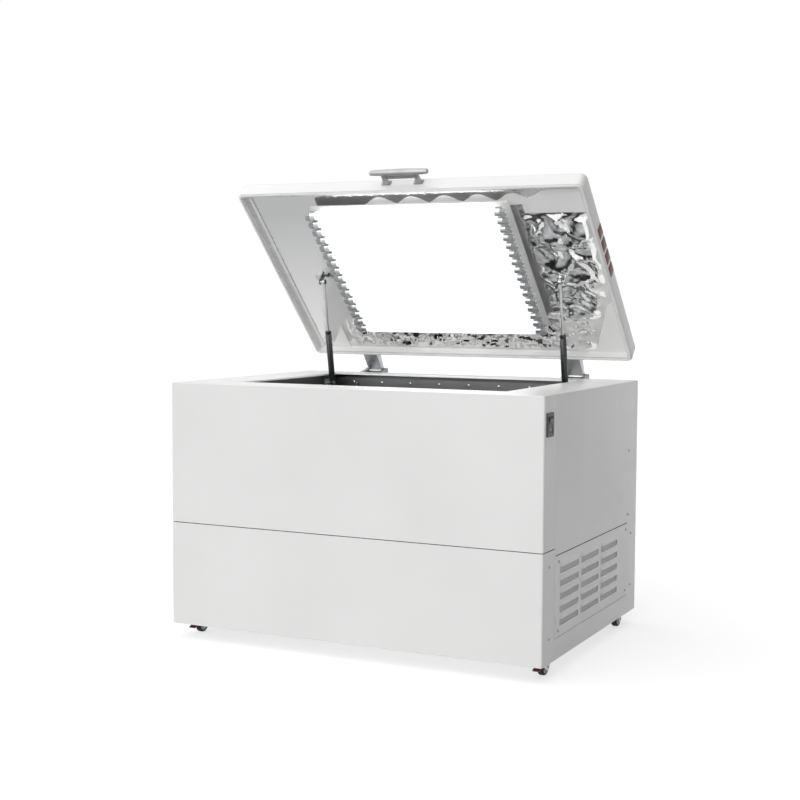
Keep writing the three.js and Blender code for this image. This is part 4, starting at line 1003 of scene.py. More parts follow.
def lampBank():
    look = read(lampLook)
    low, high = lidBox("lamp_tubes")
    z = low.z + look.radius
    half = high.x
    neck = half - look.cap
    slim = look.radius - look.wall
    tubeProfile = mirrored([(slim, -neck - look.neck), (slim, -neck), (look.radius, look.neck - neck)])
    capProfile = [(look.capRadius, neck), (look.capRadius, half - look.capEdge)]
    capProfile.append((look.capRadius - look.capEdge, half))
    glass, caps, holders = bmesh.new(), bmesh.new(), bmesh.new()
    for y in spaced(low.y, high.y, look.radius, look.count):
        tube = Matrix.Translation((0, y, z)) @ alongX
        turn(glass, tubeProfile, 24, tube)
        for side in (-1, 1):
            turn(caps, [(radius, side * end) for radius, end in capProfile], 24, tube)
            lampHolder(holders, y, z, half + look.holderGap, side)
    lidPiece("lampGlass", glass, "lamp", ["lamp_tubes"], angle=50)
    lidPiece("lampCaps", caps, "aluminium")
    lidPiece("lampHolders", holders, "greyPlastic", ["lamp_tray"], look.holderEdge, 40)


# The tray's sides lean in towards the lid, so that the tubes hide them from in front.
def lampTray():
    look = read(lampLook)
    low, high = lidBox("lamp_tray")
    bottom = high.z - look.trayDepth
    rings = rollRings(3, look.trayEdge, look.trayRim, look.trayCorner, bottom, 1)
    rings.append((look.trayRim, look.trayCorner, bottom + look.trayEdge + look.trayRise))
    rings.append((look.trayLean, look.trayCorner, high.z))
    lidPiece("lampTray", stack(low, high, rings), "lidEnamel", ["lamp_tray"], angle=25)


lampBank()
lampTray()
print("lamps made")


# Chamber: a deep stainless tub with rolled corners, open at the top, and the feet of the gas struts
tubLook = {
    "screwShare": 0.62,
    **inMm(
        corner=12.3, floorRoll=10, sheet=1.5, shaftHole=26,
        footCorner=3, footHalf=12, footPlate=3, footEdge=0.3, pinRadius=3.7, pinEdge=0.6,
        clipRadius=6, clip=1.2, clipFront=0.2, clipEdge=0.3, eyeGap=5.6, screwRadius=2.4, screwHead=1.4,
    ),
}


def chamberTub():
    look = read(tubLook)
    low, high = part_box("chamber_liner")
    rim = [(look.sheet, look.corner, high.z), (0, look.corner + look.sheet, high.z)]
    shape = stack(low, high, panRings(low, look.floorRoll, look.sheet, look.corner, 4, rim))
    # Its darkened steel is painted shade inside the chamber
    tub = makePiece("chamberTub", shape, "tub", replaced=["chamber_liner"], angle=25)
    x, y = joints["crank_spin"]["pos_m"][:2]
    ends = (low.z - look.floorRoll, low.z + look.sheet + look.floorRoll)
    cutter = bmesh.new()
    rod(cutter, look.shaftHole, *[(x, y, z) for z in ends], 48)
    carve(tub, cutter)


# Wall plate, pin and spring clip that the foot of each gas strut turns on
def strutFeet():
    look = read(tubLook)
    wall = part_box("chamber_liner")[1].x - look.sheet
    face = wall - look.footPlate
    screwAway = look.footHalf * look.screwShare
    shape = bmesh.new()
    for side, name in sides:
        pivot = Vector(joints[f"strut_{name}_swing"]["pos_m"])
        plate = rectangle(around(pivot.y, look.footHalf), around(pivot.z, look.footHalf), look.footCorner)
        extrude(shape, plate, side * wall, side * face, alongX)
        across = Matrix.Translation((0, pivot.y, pivot.z))
        inner = abs(pivot.x) - look.eyeGap
        tip = side * (inner - look.clip)
        crossRod(shape, look.pinRadius, across, side * (wall - look.footPlate / 2), tip, 24, look.pinEdge)
        crossRod(shape, look.clipRadius, across, side * (inner - look.clipFront), tip, 24, look.clipEdge)
        for z, spin in zip(around(pivot.z, screwAway), (-look.screwShare, look.screwShare)):
            place = (side * face, pivot.y + screwAway, z)
            screw(shape, place, (-side, 0, 0), spin, look.screwRadius, look.screwHead)
    makePiece("strutFeet", shape, "steel", replaced=["chamber_liner"], bevel=look.footEdge)


chamberTub()
strutFeet()


# Cover of the air duct: a row of slots over the coil, five louvre slots at the fan, screws along the top
coverLook = {
    "slots": 9,
    "fanSlots": 5,
    "fanGap": 0.68,
    "screws": 8,
    **inMm(
        corner=6, slotPitch=34, slotX=150, slotHalf=4.5, slotLow=34, slotHigh=80, fanReach=74,
        screwPitch=98, screwDrop=13, lowScrewDrop=58, screwRadius=4.4,
    ),
}


# A slot with round ends, cut through the sheet along Y
def slotCutter(shape, x, z, halfX, halfZ, ys):
    radius = min(halfX, halfZ) * 0.999
    extrude(shape, rectangle(around(z, halfZ), around(x, halfX), radius, 5), *ys, alongY)


def ductCover():
    look = read(coverLook)
    low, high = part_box("rear_duct_cover")
    shape = bmesh.new()
    extrude(shape, rectangle((low.z, high.z), (low.x, high.x), look.corner), low.y, high.y, alongY)
    cover = makePiece("ductCover", shape, "tub", replaced=["rear_duct_cover"], angle=20)
    ys = grown((low.y, high.y), look.corner)
    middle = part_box("chamber_liner")[0].z + tubLook["sheet"] + (look.slotLow + look.slotHigh) / 2
    tall = (look.slotHigh - look.slotLow) / 2
    cutter = bmesh.new()
    for x in pitched(look.slots, look.slotPitch, look.slotX):
        slotCutter(cutter, x, middle, look.slotHalf, tall, ys)
    fanAt = Vector(joints["circulation_fan_spin"]["pos_m"])
    pitch = 2 * look.fanReach / look.fanSlots
    for rise in pitched(look.fanSlots, pitch):
        reach = sqrt(look.fanReach ** 2 - (abs(rise) + pitch / look.fanSlots) ** 2)
        slotCutter(cutter, fanAt.x, fanAt.z + rise, reach, pitch * look.fanGap / 2, ys)
    carve(cover, cutter)
    screws = bmesh.new()
    for i, x in enumerate(pitched(look.screws, look.screwPitch)):
        screw(screws, (x, low.y, high.z - look.screwDrop), (0, -1, 0), i * 1.3, look.screwRadius)
    for x in (low.x + look.screwDrop, high.x - look.screwPitch * 0.55, high.x - look.screwDrop):
        screw(screws, (x, low.y, high.z - look.lowScrewDrop), (0, -1, 0), x * 9, look.screwRadius)
    makePiece("coverScrews", screws, "chrome")


ductCover()


# Temperature probe: a leaning rod with a round tip, held by a clip on the cover
probeLook = {
    "lean": 12.6,
    **inMm(
        radius=3, tip=1.6, x=-330, standoff=9, cableEnd=12, reach=96, edge=0.3,
        clipHalf=8, clipHeight=12, clipCorner=2, clipFront=4.8, clipGap=0.3, screwRadius=2.6, screwHead=1.5,
    ),
}


def probe():
    look = read(probeLook)
    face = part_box("rear_duct_cover")[0].y
    lean = radians(look.lean)
    direction = Vector((sin(lean), 0, cos(lean)))
    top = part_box("temperature_probe")[1].z - look.cableEnd * cos(lean)
    middle = Vector((look.x, face - look.standoff, top))
    shape = bmesh.new()
    rod(shape, look.radius, middle - direction * look.reach, middle + direction * look.cableEnd, 20, look.tip)
    zs = (middle.z - look.clipHeight, middle.z)
    back = face - look.clipGap
    front = back - look.standoff - look.clipFront
    extrude(shape, rectangle(zs, around(look.x, look.clipHalf), look.clipCorner), front, back, alongY)
    place = (look.x, front, middle.z - look.clipHeight / 2)
    screw(shape, place, (0, -1, 0), 0.4, look.screwRadius, look.screwHead)
    makePiece("probe", shape, "chrome", replaced=["temperature_probe"], bevel=look.edge)


probe()


# Platform tray: a pressed sheet with a rolled lip and rows of holes for flask clamps
platformLook = {
    "columns": 13,
    "rows": 9,
    **inMm(corner=14, roll=3, sheet=2, holeRadius=3, edge=38, boltRadius=6, boltHead=3.4),
}


def platformTray():
    look = read(platformLook)
    low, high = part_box("platform_tray")
    sheet, corner = look.sheet, look.corner
    edge = high.z - sheet / 2
    rim = [(sheet, corner, edge), (sheet / 2, corner, high.z), (0, corner + sheet, edge)]
    shape = stack(low, high, panRings(low, look.roll, sheet, corner, 3, rim))
    tray = makePiece("platformTray", shape, "tray", "platform", ["platform_tray"], angle=25)
    cutter = bmesh.new()
    for x in spaced(low.x, high.x, look.edge, look.columns):
        for y in spaced(low.y, high.y, look.edge, look.rows):
            rod(cutter, look.holeRadius, (x, y, low.z - sheet), (x, y, low.z + 3 * sheet), 12)
    carve(tray, cutter)
    bolts = bmesh.new()
    carrierLow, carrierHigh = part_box("platform_carrier")
    for x in grown((carrierLow.x, carrierHigh.x), -look.edge):
        for y in grown((carrierLow.y, carrierHigh.y), -look.edge):
            screw(bolts, (x, y, low.z + sheet), (0, 0, 1), x * 5, look.boltRadius, look.boltHead)
    makePiece("platformBolts", bolts, "steel", "platform")


platformTray()
print("chamber made")


# Gas struts: lacquered cylinder with a crimped gland, bright rod, an eye at both ends. The cylinder's two
# ends are turned to these insets in its radius, each with its distance from the foot or from the gland.
strutLook = {
    "share": 0.52,
    "footTurn": ((2.5, 11), (0.8, 12), (0, 14)),
    "glandTurn": ((0, 14), (0.9, 12.5), (0.9, 10.5), (0, 9), (0, 2.5), (2, 0.4)),
    **inMm(
        cylinder=9.5, bore=4.5, boreEnd=14, rod=4, engaged=8,
        eye=8, eyeHalf=5, eyeEdge=1, neckHalf=4, pin=4.45,
    ),
}


# A strut's foot, its direction and the points of its rod
def strutLine(name):
    foot = Vector(joints[f"strut_{name}_swing"]["pos_m"])
    axis = Vector(joints[f"strut_{name}_stroke"]["axis"]).normalized()
    if axis.z < 0:
        axis = -axis
    return foot, axis, [vertex.co for vertex in nodes[f"strut_rod_{name}"].data.vertices]


# An eye turned about X, with a hole for the pin and a short neck towards the strut
def eyeRing(shape, place, height, flip=1):
    look = read(strutLook)
    centre = place @ Matrix.Translation((0, 0, height))
    edge, half = look.eyeEdge, look.eyeHalf
    profile = mirrored([(look.pin, -half), (look.eye - edge, -half), (look.eye, edge - half)])
    turn(shape, profile, 32, centre @ Matrix.Rotation(pi / 2, 4, "Y"), closed=True)
    rod(shape, look.neckHalf, *[centre @ Vector((0, 0, flip * look.eye * reach)) for reach in (0.8, 1.6)], 20)


def gasStrut(name):
    look = read(strutLook)
    foot, axis, points = strutLine(name)
    place = facing(foot, axis)
    length = max((point - foot).dot(axis) for point in points) - look.eye
    barrel = length * look.share
    profile = [(look.cylinder - inset * mm, height * mm) for inset, height in look.footTurn]
    profile += [(look.cylinder - inset * mm, barrel - drop * mm) for inset, drop in look.glandTurn]
    shape = bmesh.new()
    turn(shape, profile + [(look.bore, barrel), (look.bore, look.boreEnd)], 32, place)
    eyeRing(shape, place, 0)
    body = f"strut_cylinder_{name}"
    makePiece(f"strutCylinder_{name}", shape, "blackSteel", body, [body])
    stem = bmesh.new()
    ends = (barrel - look.engaged, length - look.eye * 0.6)
    rod(stem, look.rod, *[place @ Vector((0, 0, end)) for end in ends])
    eyeRing(stem, place, length, -1)
    body = f"strut_rod_{name}"
    makePiece(f"strutRod_{name}", stem, "chrome", body, [body])


studLook = inMm(
    gap=5.6, arm=8, plate=3, half=9, drop=7, corner=5, edge=0.3, pin=4, pinDepth=1.5, pinEdge=0.5,
    flange=2, flangeStart=0.5, flangeEnd=20, flangeHalf=12, flangeCorner=3,
    screwX=12, screwRadius=3, screwHead=1.6,
)


# Plates under the liner with the studs that the rods' eyes reach up to
def strutStuds():
    look = read(studLook)
    ceiling = linerCeiling
    shape = bmesh.new()
    for side, name in sides:
        foot, axis, points = strutLine(name)
        far = max(points, key=lambda point: (point - foot).length)
        aim = (Vector((foot.x, far.y, far.z)) - foot).normalized()
        length = max((point - foot).dot(aim) for point in points) - strutLook["eye"]
        centre = lidPlace.inverted() @ (foot + axis * length)
        inner = abs(centre.x) + look.gap
        plate = inner + look.arm
        zs, radii = (centre.z - look.drop, ceiling), (look.corner, look.corner, 0, 0)
        outline = rectangle(around(centre.y, look.half), zs, radii)
        extrude(shape, outline, side * plate, side * (plate + look.plate), alongX)
        xs = (side * (plate + look.flangeStart), side * (plate + look.flangeEnd))
        ys, radii = around(centre.y, look.flangeHalf), (0, look.flangeCorner, look.flangeCorner, 0)
        extrude(shape, rectangle(xs, ys, radii), ceiling - look.flange, ceiling)
        place = (side * (plate + look.screwX), centre.y, ceiling - look.flange)
        screw(shape, place, (0, 0, -1), side, look.screwRadius, look.screwHead)
        across = Matrix.Translation((0, centre.y, centre.z))
        crossRod(shape, look.pin, across, side * inner, side * (plate + look.pinDepth), 24, look.pinEdge)
    lidPiece("strutStuds", shape, "steel", ["lid_liner"], look.edge)


for name in ("left", "right"):
    gasStrut(name)
strutStuds()
print("struts made")


# Hinges: a base with two ears and a pin on the cabinet, a leaf with a rolled arm on the lid
hingeLook = inMm(
    knuckle=9, pin=4.6, pinInset=1, plate=4, ear=12.3, half=37, slack=0.4, corner=3, edge=0.5,
    earFoot=6, screwX=12, screwZ=14, screwRadius=4.6, screwHead=2,
    rise=4, leafGap=0.3, leafStart=4, armOut=4, armDrop=2,
    leafScrewX=7, leafScrewHigh=6, leafScrewLow=16, leafScrewRadius=3.4,
)


# Points round the knuckle from one angle to another, about the hinge axis
def knuckleArc(centre, radius, first, last):
    steps = 14
    angles = [radians(first + (last - first) * step / steps) for step in range(steps + 1)]
    return [(centre[0] + radius * cos(angle), centre[1] + radius * sin(angle)) for angle in angles]


def hingeBase(name):
    look = read(hingeLook)
    low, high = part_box(f"hinge_base_{name}")
    middle = (low.x + high.x) / 2
    xs = around(middle, look.half)
    axis = (hingeAt.y, hingeAt.z)
    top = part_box("top_rim")[1].z - look.plate
    face, inner, foot = low.y + look.plate, low.y + look.plate / 2, low.z + look.earFoot
    shape = bmesh.new()
    extrude(shape, rectangle((low.z, top), xs, (look.corner, 0, 0, look.corner)), low.y, face, alongY)
    outline = [(inner, top), (inner, foot), (face, foot)] + knuckleArc(axis, look.knuckle, -38, 150)
    for ear in (-1, 1):
        extrude(shape, outline, middle + ear * look.half, middle + ear * (look.half - look.ear), alongX)
    rod(shape, look.pin, *[(x, *axis) for x in grown(xs, -look.pinInset)], 24)
    for x in (-look.screwX, look.screwX):
        place = (middle + x, face, low.z + look.screwZ)
        screw(shape, place, (0, 1, 0), x * 40, look.screwRadius, look.screwHead)
    makePiece(f"hingeBase_{name}", shape, "hinge", replaced=[f"hinge_base_{name}"], bevel=look.edge)


def hingeLeaf(name):
    look = read(hingeLook)
    low, high = lidBox(f"hinge_leaf_{name}")
    middle = (low.x + high.x) / 2
    xs = around(middle, look.half)
    back = shellHigh.y + look.leafGap
    face, inner, top = back + look.plate, back + look.plate / 2, high.z - look.plate
    zs = (low.z + look.knuckle + look.leafStart, high.z)
    shape = bmesh.new()
    extrude(shape, rectangle(zs, xs, (0, look.corner, look.corner, 0)), back, face, alongY)
    outline = [(inner, look.rise)] + knuckleArc((0, 0), look.knuckle, 205, 398)
    outline += [(inner + look.armOut, top - look.armDrop), (inner, top)]
    extrude(shape, outline, *around(middle, look.half - look.ear - look.slack), alongX)
    leaf = lidPiece(f"hingeLeaf_{name}", shape, "steel", [f"hinge_leaf_{name}"], look.edge)
    cutter = bmesh.new()
    rod(cutter, look.pin + look.slack, *[(x, 0, 0) for x in grown(xs, look.plate)], 32)
    cutter.transform(lidPlace)
    carve(leaf, cutter)
    screws = bmesh.new()
    reach = look.half - look.leafScrewX
    for x in (-reach, reach):
        for drop in (look.leafScrewHigh, look.leafScrewLow):
            screw(screws, (middle + x, face, high.z - drop), (0, 1, 0), x * 50, look.leafScrewRadius)
    lidPiece(f"leafScrews_{name}", screws, "steel")


for name in ("left", "right"):
    hingeBase(name)
    hingeLeaf(name)
print("hinges made")


# Handle: a tapered grip on two posts with screwed feet, and a web behind the grip
handleLook = {
    "tipShare": 0.55,
    "bulge": 2.5,
    "screwShare": 0.8,
    **inMm(
        grip=9.5, tip=7.2, end=3, post=16, postX=50, flare=3, taper=1, gap=0.3, edge=0.6,
        foot=4, footHalf=13.5, footCorner=3, web=3, webDepth=13, screwRadius=2.6, screwHead=1.4,
    ),
}


def lidHandle():
    look = read(handleLook)
    low, high = lidBox("lid_handle")
    z = (low.z + high.z) / 2
    grip, half = low.y + look.grip, high.x
    steps = 18
    profile = [(look.tip * look.tipShare, -half)]
    for step in range(steps + 1):
        share = 2 * step / steps - 1
        swell = look.grip - (look.grip - look.tip) * abs(share) ** look.bulge
        profile.append((swell, (half - look.end) * share))
    profile.append((look.tip * look.tipShare, half))
    shape = bmesh.new()
    turn(shape, profile, 32, Matrix.Translation((0, grip, z)) @ alongX)
    face = shellLow.y - look.gap
    foot = face - look.foot
    slim = look.post / 2 - look.taper
    # Each section of a post, from its foot to the grip: its place, half width and half height
    sections = (
        (face - look.foot / 2, look.post / 2 + look.flare, look.grip * 0.8),
        (foot - look.flare, look.post / 2, look.grip * 0.56),
        (grip + look.grip, slim, look.grip * 0.5),
        (grip, slim, look.grip * 0.5),
    )
    for side in (-1, 1):
        x = side * look.postX
        loops = []
        for y, width, height in sections:
            outline = rectangle(around(z, height), around(x, width), height * 0.6)
            loops.append([alongY @ Vector((*point, y)) for point in outline])
        loft(shape, loops)
        outline = rectangle(around(z, look.grip), around(x, look.footHalf), look.footCorner)
        extrude(shape, outline, foot, face, alongY)
        for spin in (-1, 1):
            place = (x + spin * look.footHalf * look.screwShare, foot, z)
            screw(shape, place, (0, -1, 0), spin, look.screwRadius, look.screwHead)
    slab(shape, around(0, look.postX), (grip, grip + look.grip + look.webDepth), around(z, look.web / 2))
    lidPiece("lidHandle", shape, "handle", ["lid_handle"], look.edge)


lidHandle()


# Four dark red plugs in a row along the lid's right wall
plugLook = {
    "count": 4,
    **inMm(first=190, pitch=47, half=18, rise=24, halfHeight=15.5, corner=2.5, edge=0.9, proud=1.2, sunk=0.8),
}


def lidPlugs():
    look = read(plugLook)
    shape = bmesh.new()
    zs = around(shellLow.z + look.rise, look.halfHeight)
    for i in range(look.count):
        ys = around(shellLow.y + look.first + i * look.pitch, look.half)
        loops = []
        for inset, out in ((0, -look.sunk), (0, look.proud * 0.5), (look.edge, look.proud)):
            loops.append(sideLoop(grown(ys, -inset), grown(zs, -inset), look.corner, shellHigh.x + out))
        loft(shape, loops)
    lidPiece("lidPlugs", shape, "redPlastic")


lidPlugs()
print("handle and plugs made")


# Rocker of the mains switch: a shallow hollow face, with the two marks for off and on
rockerLook = {
    "tilt": 8.0,
    **inMm(
        halfHeight=19, side=13, depth=9, lift=5, hollow=1.8, edge=0.8,
        markAt=12, mark=3.2, markLine=0.5, markSunk=0.3, markProud=0.12,
    ),
}


def mainsRocker():
    look = read(rockerLook)
    pivot = Vector(joints["power_switch_rock"]["pos_m"])
    farthest = max(nodes["power_switch"].data.vertices, key=lambda vertex: vertex.co.x).co
    tilt = radians(look.tilt) * (1 if farthest.z > pivot.z else -1)
    place = Matrix.Translation(pivot) @ Matrix.Rotation(tilt, 4, "Y")
    half = look.halfHeight
    outline = [(-look.depth, half * 0.8), (-look.depth, -half * 0.8)]
    steps = 12
    for step in range(steps + 1):
        share = 2 * step / steps - 1
        outline.append((look.lift - look.hollow * (1 - share ** 2), share * half))
    loops = [[Vector((out, y, up)) for out, up in outline] for y in (-look.side, look.side)]
    shape = loft(bmesh.new(), loops)
    makePiece("rocker", shape, "blackPlastic", "power_switch", ["power_switch"], look.edge, place, 40)
    face = look.lift - look.hollow * (1 - (look.markAt / half) ** 2)
    slope = atan(2 * look.hollow * look.markAt / half ** 2)
    on, off = [
        Matrix.Translation((face, 0, up)) @ Matrix.Rotation(turned, 4, "Y")
        for up, turned in ((look.markAt, -slope), (-look.markAt, slope))
    ]
    depths = (-look.markSunk, look.markProud)
    marks = bmesh.new()
    slab(marks, depths, around(0, look.markLine), around(0, look.mark), on)
    inner = look.mark - 2 * look.markLine
    profile = [(inner, depths[0]), (look.mark, depths[0]), (look.mark, depths[1]), (inner, depths[1])]
    turn(marks, profile, 24, off @ Matrix.Rotation(pi / 2, 4, "Y"), True)
    makePiece("rockerMarks", marks, "whitePlastic", "power_switch", matrix=place)


mainsRocker()


# Control panel on top of the lid: housing, display window and one square start key with a dished top
panelLook = {
    "dish": ((5 * mm, 3 * mm, 0.7), (9 * mm, 2 * mm, 1.0)),  # inset, corner and share of the depth
    **inMm(
        corner=10, edge=4, well=0.6, recess=3, windowCorner=2, windowEdge=0.4,
        keyCorner=4, keyWell=7.5, keyDish=0.8, keyEdge=1, keySlope=0.3, keyFlat=2,
    ),
}


def controlPanel():
    look = read(panelLook)
    low, high = lidBox("control_panel")
    rings = [(0, look.corner, low.z)] + rollRings(4, look.edge, 0, look.corner, high.z, 1, -1, back=True)
    housing = lidPiece("panelHousing", stack(low, high, rings), "greyPlastic", ["control_panel"], angle=30)
    window, key = lidBox("control_display"), lidBox("start_key")
    wells = (
        (window, look.well / 2, look.windowCorner, look.recess),
        (key, look.well, look.keyCorner, look.keyWell),
    )
    cutter = bmesh.new()
    for box, out, corner, depth in wells:
        stack(*box, [(-out, corner, z) for z in (high.z - depth, high.z + look.edge)], shape=cutter)
    cutter.transform(lidPlace)
    carve(housing, cutter)
    corner, edge, top = look.windowCorner, look.windowEdge, window[1].z
    rings = [(0, corner, window[0].z), (0, corner, top - edge), (edge, corner - edge, top)]
    lidPiece("displayWindow", stack(*window, rings), "screen", ["control_display"])
    corner, edge, slope, top = look.keyCorner, look.keyEdge, look.keySlope, key[1].z
    rings = [(0, corner, key[0].z)]
    for inset, drop in ((0, edge), (slope, slope), (edge, 0), (look.keyFlat, 0)):
        rings.append((inset, corner - inset, top - drop))
    rings += [(inset, radius, top - look.keyDish * share) for inset, radius, share in look.dish]
    makePiece("startKey", stack(*key, rings), "whitePlastic", "start_key", ["start_key"], 0, lidPlace, 30)


controlPanel()
print("controls made")


# Castors: pressed fork, grey-white wheel with a soft tread, red brake pedal on the front pair
castorLook = inMm(
    trail=18, wheel=22, wheelHalf=9.5, hub=10, hubBore=2.4, tread=4.5,
    legGap=12, leg=2.5, legHalf=7.5, noseCorner=5, tailCorner=6, heelCorner=5, brakedCorner=2, forkEdge=0.4,
    crown=18, crownTop=64.7, crownSheet=4, crownCorner=3,
    axle=3.6, axleStart=0.2, axleEnd=2, axleCore=2, pinCore=1, pinHead=2, pinEnd=0.9, pinEdge=0.3,
    pedalY=45, pedalZ=31, pedalLength=23.5, pedalDrop=9, pedalHalf=10, pedalSheet=3, pedalEdge=0.5, boss=4.5,
)


def castorPlace(name):
    x, y = joints[f"castor_{name}_swivel"]["pos_m"][:2]
    return Matrix.Translation((x, y, 0)) @ Matrix.Rotation(pi if name.startswith("front") else 0, 4, "Z")


def castorFork(name, braked):
    look = read(castorLook)
    place = castorPlace(name)
    low, high = around(look.wheel, look.legHalf)
    nose, tail = around(look.trail, look.legHalf)
    top = look.crownTop
    shoulder = top - look.crownSheet
    front = -look.crown * 0.6
    corners = [(front, top, 0), (front, shoulder, look.crownCorner), (nose, low, look.noseCorner)]
    if braked:
        ear = look.pedalY + look.boss
        corners.append((tail, low, look.brakedCorner))
        corners += [(ear, z, look.brakedCorner) for z in around(look.pedalZ, look.boss / 2)]
        corners.append((tail, high + look.boss, look.crownCorner))
    else:
        corners += [(tail, low, look.tailCorner), (tail, high, look.heelCorner)]
    outline = roundedOutline(corners + [(look.crown, top, 0)])
    span = look.legGap + look.leg
    shape = bmesh.new()
    for leg in ((-span, -look.legGap), (look.legGap, span)):
        extrude(shape, outline, *leg, place @ alongX)
    crown = rectangle(around(0, span), around(0, look.crown), look.crownCorner)
    extrude(shape, crown, shoulder, top, place)
    axle = place @ Matrix.Translation((0, look.trail, look.wheel))
    for side in (-1, 1):
        crossRod(shape, look.axle, axle, side * (span - look.axleStart), side * (span + look.axleEnd), 6)
    crossRod(shape, look.axleCore, axle, -span, span, 16)
    if braked:
        pin = place @ Matrix.Translation((0, look.pedalY, look.pedalZ))
        crossRod(shape, look.pinCore, pin, -span, span, 12)
        for side in (-1, 1):
            crossRod(shape, look.pinHead, pin, side * span, side * (span + look.pinEnd), 16, look.pinEdge)
    body = f"castor_fork_{name}"
    makePiece(f"castorFork_{name}", shape, "steel", body, [body], look.forkEdge)


def castorWheel(name):
    look = read(castorLook)
    axle = castorPlace(name) @ Matrix.Translation((0, look.trail, look.wheel))
    axle = axle @ Matrix.Rotation(pi / 2, 4, "Y")
    body = f"castor_wheel_{name}"
    half, radius, hub = look.wheelHalf, look.wheel, look.hub
    inner = radius - look.tread
    tread = bmesh.new()
    turn(tread, mirrored([
        (inner, -half * 0.86),
        (radius - 3 * mm, -half * 0.92),
        (radius - 0.9 * mm, -half * 0.74),
        (radius, -half * 0.5),
    ]), 48, axle, True)
    makePiece(f"castorTread_{name}", tread, "belt", body, angle=40)
    disc = bmesh.new()
    turn(disc, mirrored([
        (look.hubBore, -half),
        (hub - 0.6 * mm, -half),
        (hub, 0.6 * mm - half),
        (hub + 1 * mm, -half * 0.6),
        (inner - 2 * mm, -half * 0.6),
        (inner - 1 * mm, -half * 0.8),
        (inner + 0.2 * mm, -half * 0.8),
    ]), 40, axle, True)
    makePiece(f"castorHub_{name}", disc, "whitePlastic", body, [body], angle=30)


def castorBrake(name):
    look = read(castorLook)
    place = castorPlace(name) @ Matrix.Translation((0, look.pedalY, look.pedalZ)) @ alongX
    boss, length, half = look.boss / 2, look.pedalLength, look.pedalHalf
    tip = -look.pedalDrop
    corners = [
        (0, boss, 0),
        (-boss * 0.9, 0, 1.4 * mm),
        (0, -boss, 0),
        (length * 0.5, -boss * 0.2 + tip * 0.62 - 1 * mm, 0),
        (length, tip - look.pedalSheet, 1.2 * mm),
        (length, tip, 1.2 * mm),
    ]
    shape = bmesh.new()
    extrude(shape, roundedOutline(corners), -half, half, place)
    ribs = 4
    rib = ((-0.8, -1.0), (0.8, -1.6), (0.8, 0.1), (-0.8, 0.7))
    for i in range(ribs):
        share = 0.5 + 0.42 * i / (ribs - 1)
        outline = [(length * share + y * mm, boss + (tip - boss) * share + z * mm) for y, z in rib]
        extrude(shape, outline, -half * 0.8, half * 0.8, place)
    body = f"castor_brake_{name}"
    makePiece(f"castorPedal_{name}", shape, "redPlastic", body, [body], look.pedalEdge)


for end in ("front", "rear"):
    for side in ("left", "right"):
        castorFork(f"{end}_{side}", end == "front")
        castorWheel(f"{end}_{side}")
        if end == "front":
            castorBrake(f"{end}_{side}")
print("castors made")


# Mains inlet on the back: three flat pins in the socket and two fixing screws
inletLook = inMm(
    pinX=1, pinZ=2, pinStart=17, pinEnd=4, pinEdge=0.3, pitch=7, rise=3,
    screwX=20, screwRadius=3.2, screwHead=1.6,
)


def mainsInlet():
    look = read(inletLook)
    low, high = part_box("power_inlet")
    middle = (low + high) / 2
    ys = (high.y - look.pinStart, high.y - look.pinEnd)
    pins = bmesh.new()
    for x, z in ((-look.pitch, -look.rise), (look.pitch, -look.rise), (0, look.rise)):
        slab(pins, around(middle.x + x, look.pinX), ys, around(middle.z + z, look.pinZ))
    makePiece("inletPins", pins, "steel", bevel=look.pinEdge)
    screws = bmesh.new()
    for x in (-look.screwX, look.screwX):
        place = (middle.x + x, high.y, middle.z)
        screw(screws, place, (0, 1, 0), x * 70, look.screwRadius, look.screwHead)
    makePiece("inletScrews", screws, "steel")


mainsInlet()
print("inlet made")


# Every CAD node that still shows gets its finish here.
nodeFinish = {
    "steel": ("base_pan", "crank_shaft", "idler_crank_left", "idler_crank_right"),
    "foam": ("chamber_insulation", "lid_insulation"),
    "enamel": ("rear_panel",),
    "iron": ("drive_table", "idler_beam"),
    "aluminium": (
        "driven_pulley", "platform_carrier", "motor_pulley",
        "condenser_unit", "condenser_fan", "circulation_fan", "duct_air_unit",
    ),
    "blackSteel": ("drive_motor", "compressor"),
    "blackPlastic": ("power_inlet",),
    "belt": ("drive_belt",),
}
for finish, names in nodeFinish.items():
    for name in names:
        materials = nodes[name].data.materials
        for i in range(max(1, len(nodes[name].material_slots))):
            if i < len(materials):
                materials[i] = finishes[finish]
            else:
                materials.append(finishes[finish])
print("nodes finished")


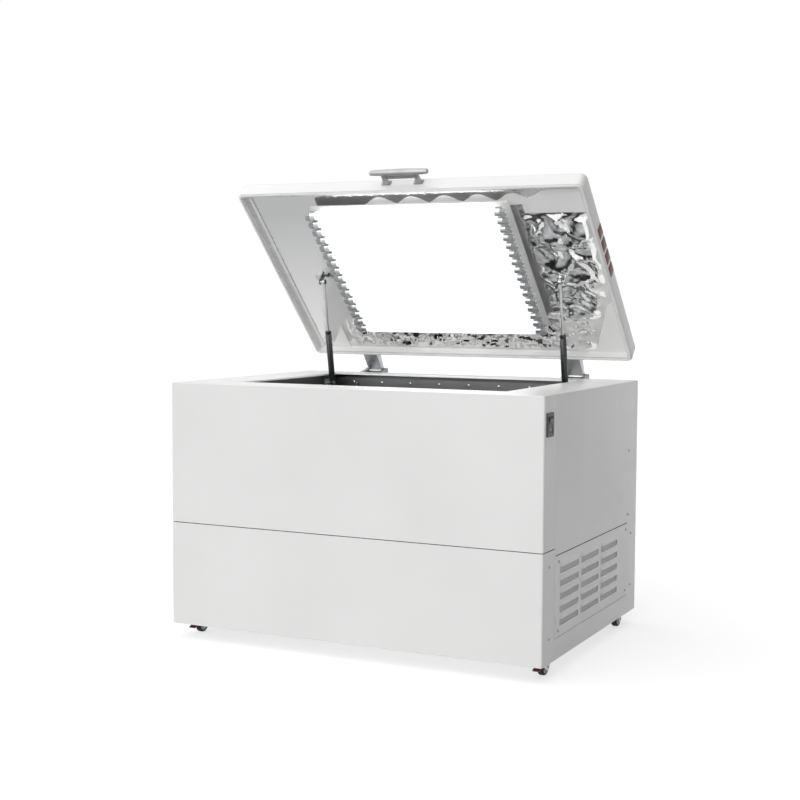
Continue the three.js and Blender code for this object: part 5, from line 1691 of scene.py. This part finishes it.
# Studio: a white floor that keeps the shadow, a white backdrop for the camera and soft lamps
studioLook = {
    "floor": 60.0,
    "floorColour": (0.56, 0.56, 0.56),
    "floorGlow": 0.64,
    "ambient": 0.2,
    "lamps": {
        "keyLamp": {"energy": 2.2, "from": (-0.40, -0.53, 0.75), "spread": 110.0},
        "fillLamp": {"energy": 1.1, "from": (-0.08, -1.0, 0.06), "spread": 40.0},
    },
}


# A level for the named kinds of ray, and another for all the rest
def rayLevel(tree, kinds, seen, unseen):
    path = addNode(tree, "LightPath")
    chosen = path.outputs[f"Is {kinds[0]} Ray"]
    for kind in kinds[1:]:
        chosen = mathNode("MAXIMUM", chosen, path.outputs[f"Is {kind} Ray"])
    return spreadTo(chosen, unseen, seen, 0.0, 1.0)


def addBackdrop():
    look = read(studioLook)
    world = bpy.data.worlds.new("studio")
    bpy.context.scene.world = world
    world.use_nodes = True
    background = world.node_tree.nodes["Background"].inputs
    background["Color"].default_value = (1, 1, 1, 1)
    level = rayLevel(world.node_tree, ("Camera", "Glossy", "Transmission"), 1.0, look.ambient)
    wire(level, background["Strength"])
    for name, settings in look.lamps.items():
        data = bpy.data.lights.new(name, "SUN")
        data.energy = settings["energy"]
        data.angle = radians(settings["spread"])
        lamp = bpy.data.objects.new(name, data)
        lamp.matrix_world = facing((0, 0, 0), settings["from"])
        addToScene(lamp)


# The floor is a diffuse white, brightened towards pure white for what the camera and mirrors see.
def addFloor():
    look = read(studioLook)
    shape = bmesh.new()
    corners = rectangle(around(0, look.floor), around(0, look.floor), 0)
    shape.faces.new([shape.verts.new((*corner, 0)) for corner in corners])
    mesh = bpy.data.meshes.new("floor")
    shape.to_mesh(mesh)
    shape.free()
    glow = {"Specular_IOR_Level": 0.0, "Emission_Color": (1, 1, 1, 1)}
    material = newMaterial("floorWhite", look.floorColour, 0.0, 0.9, **glow)
    level = rayLevel(material.node_tree, ("Camera", "Glossy"), look.floorGlow, 0.0)
    wire(level, shaderOf(material.node_tree).inputs["Emission Strength"])
    mesh.materials.append(material)
    floor = bpy.data.objects.new("floor", mesh)
    addToScene(floor)


addBackdrop()
addFloor()
bpy.context.scene.view_settings.view_transform = "Standard"
print("studio made")
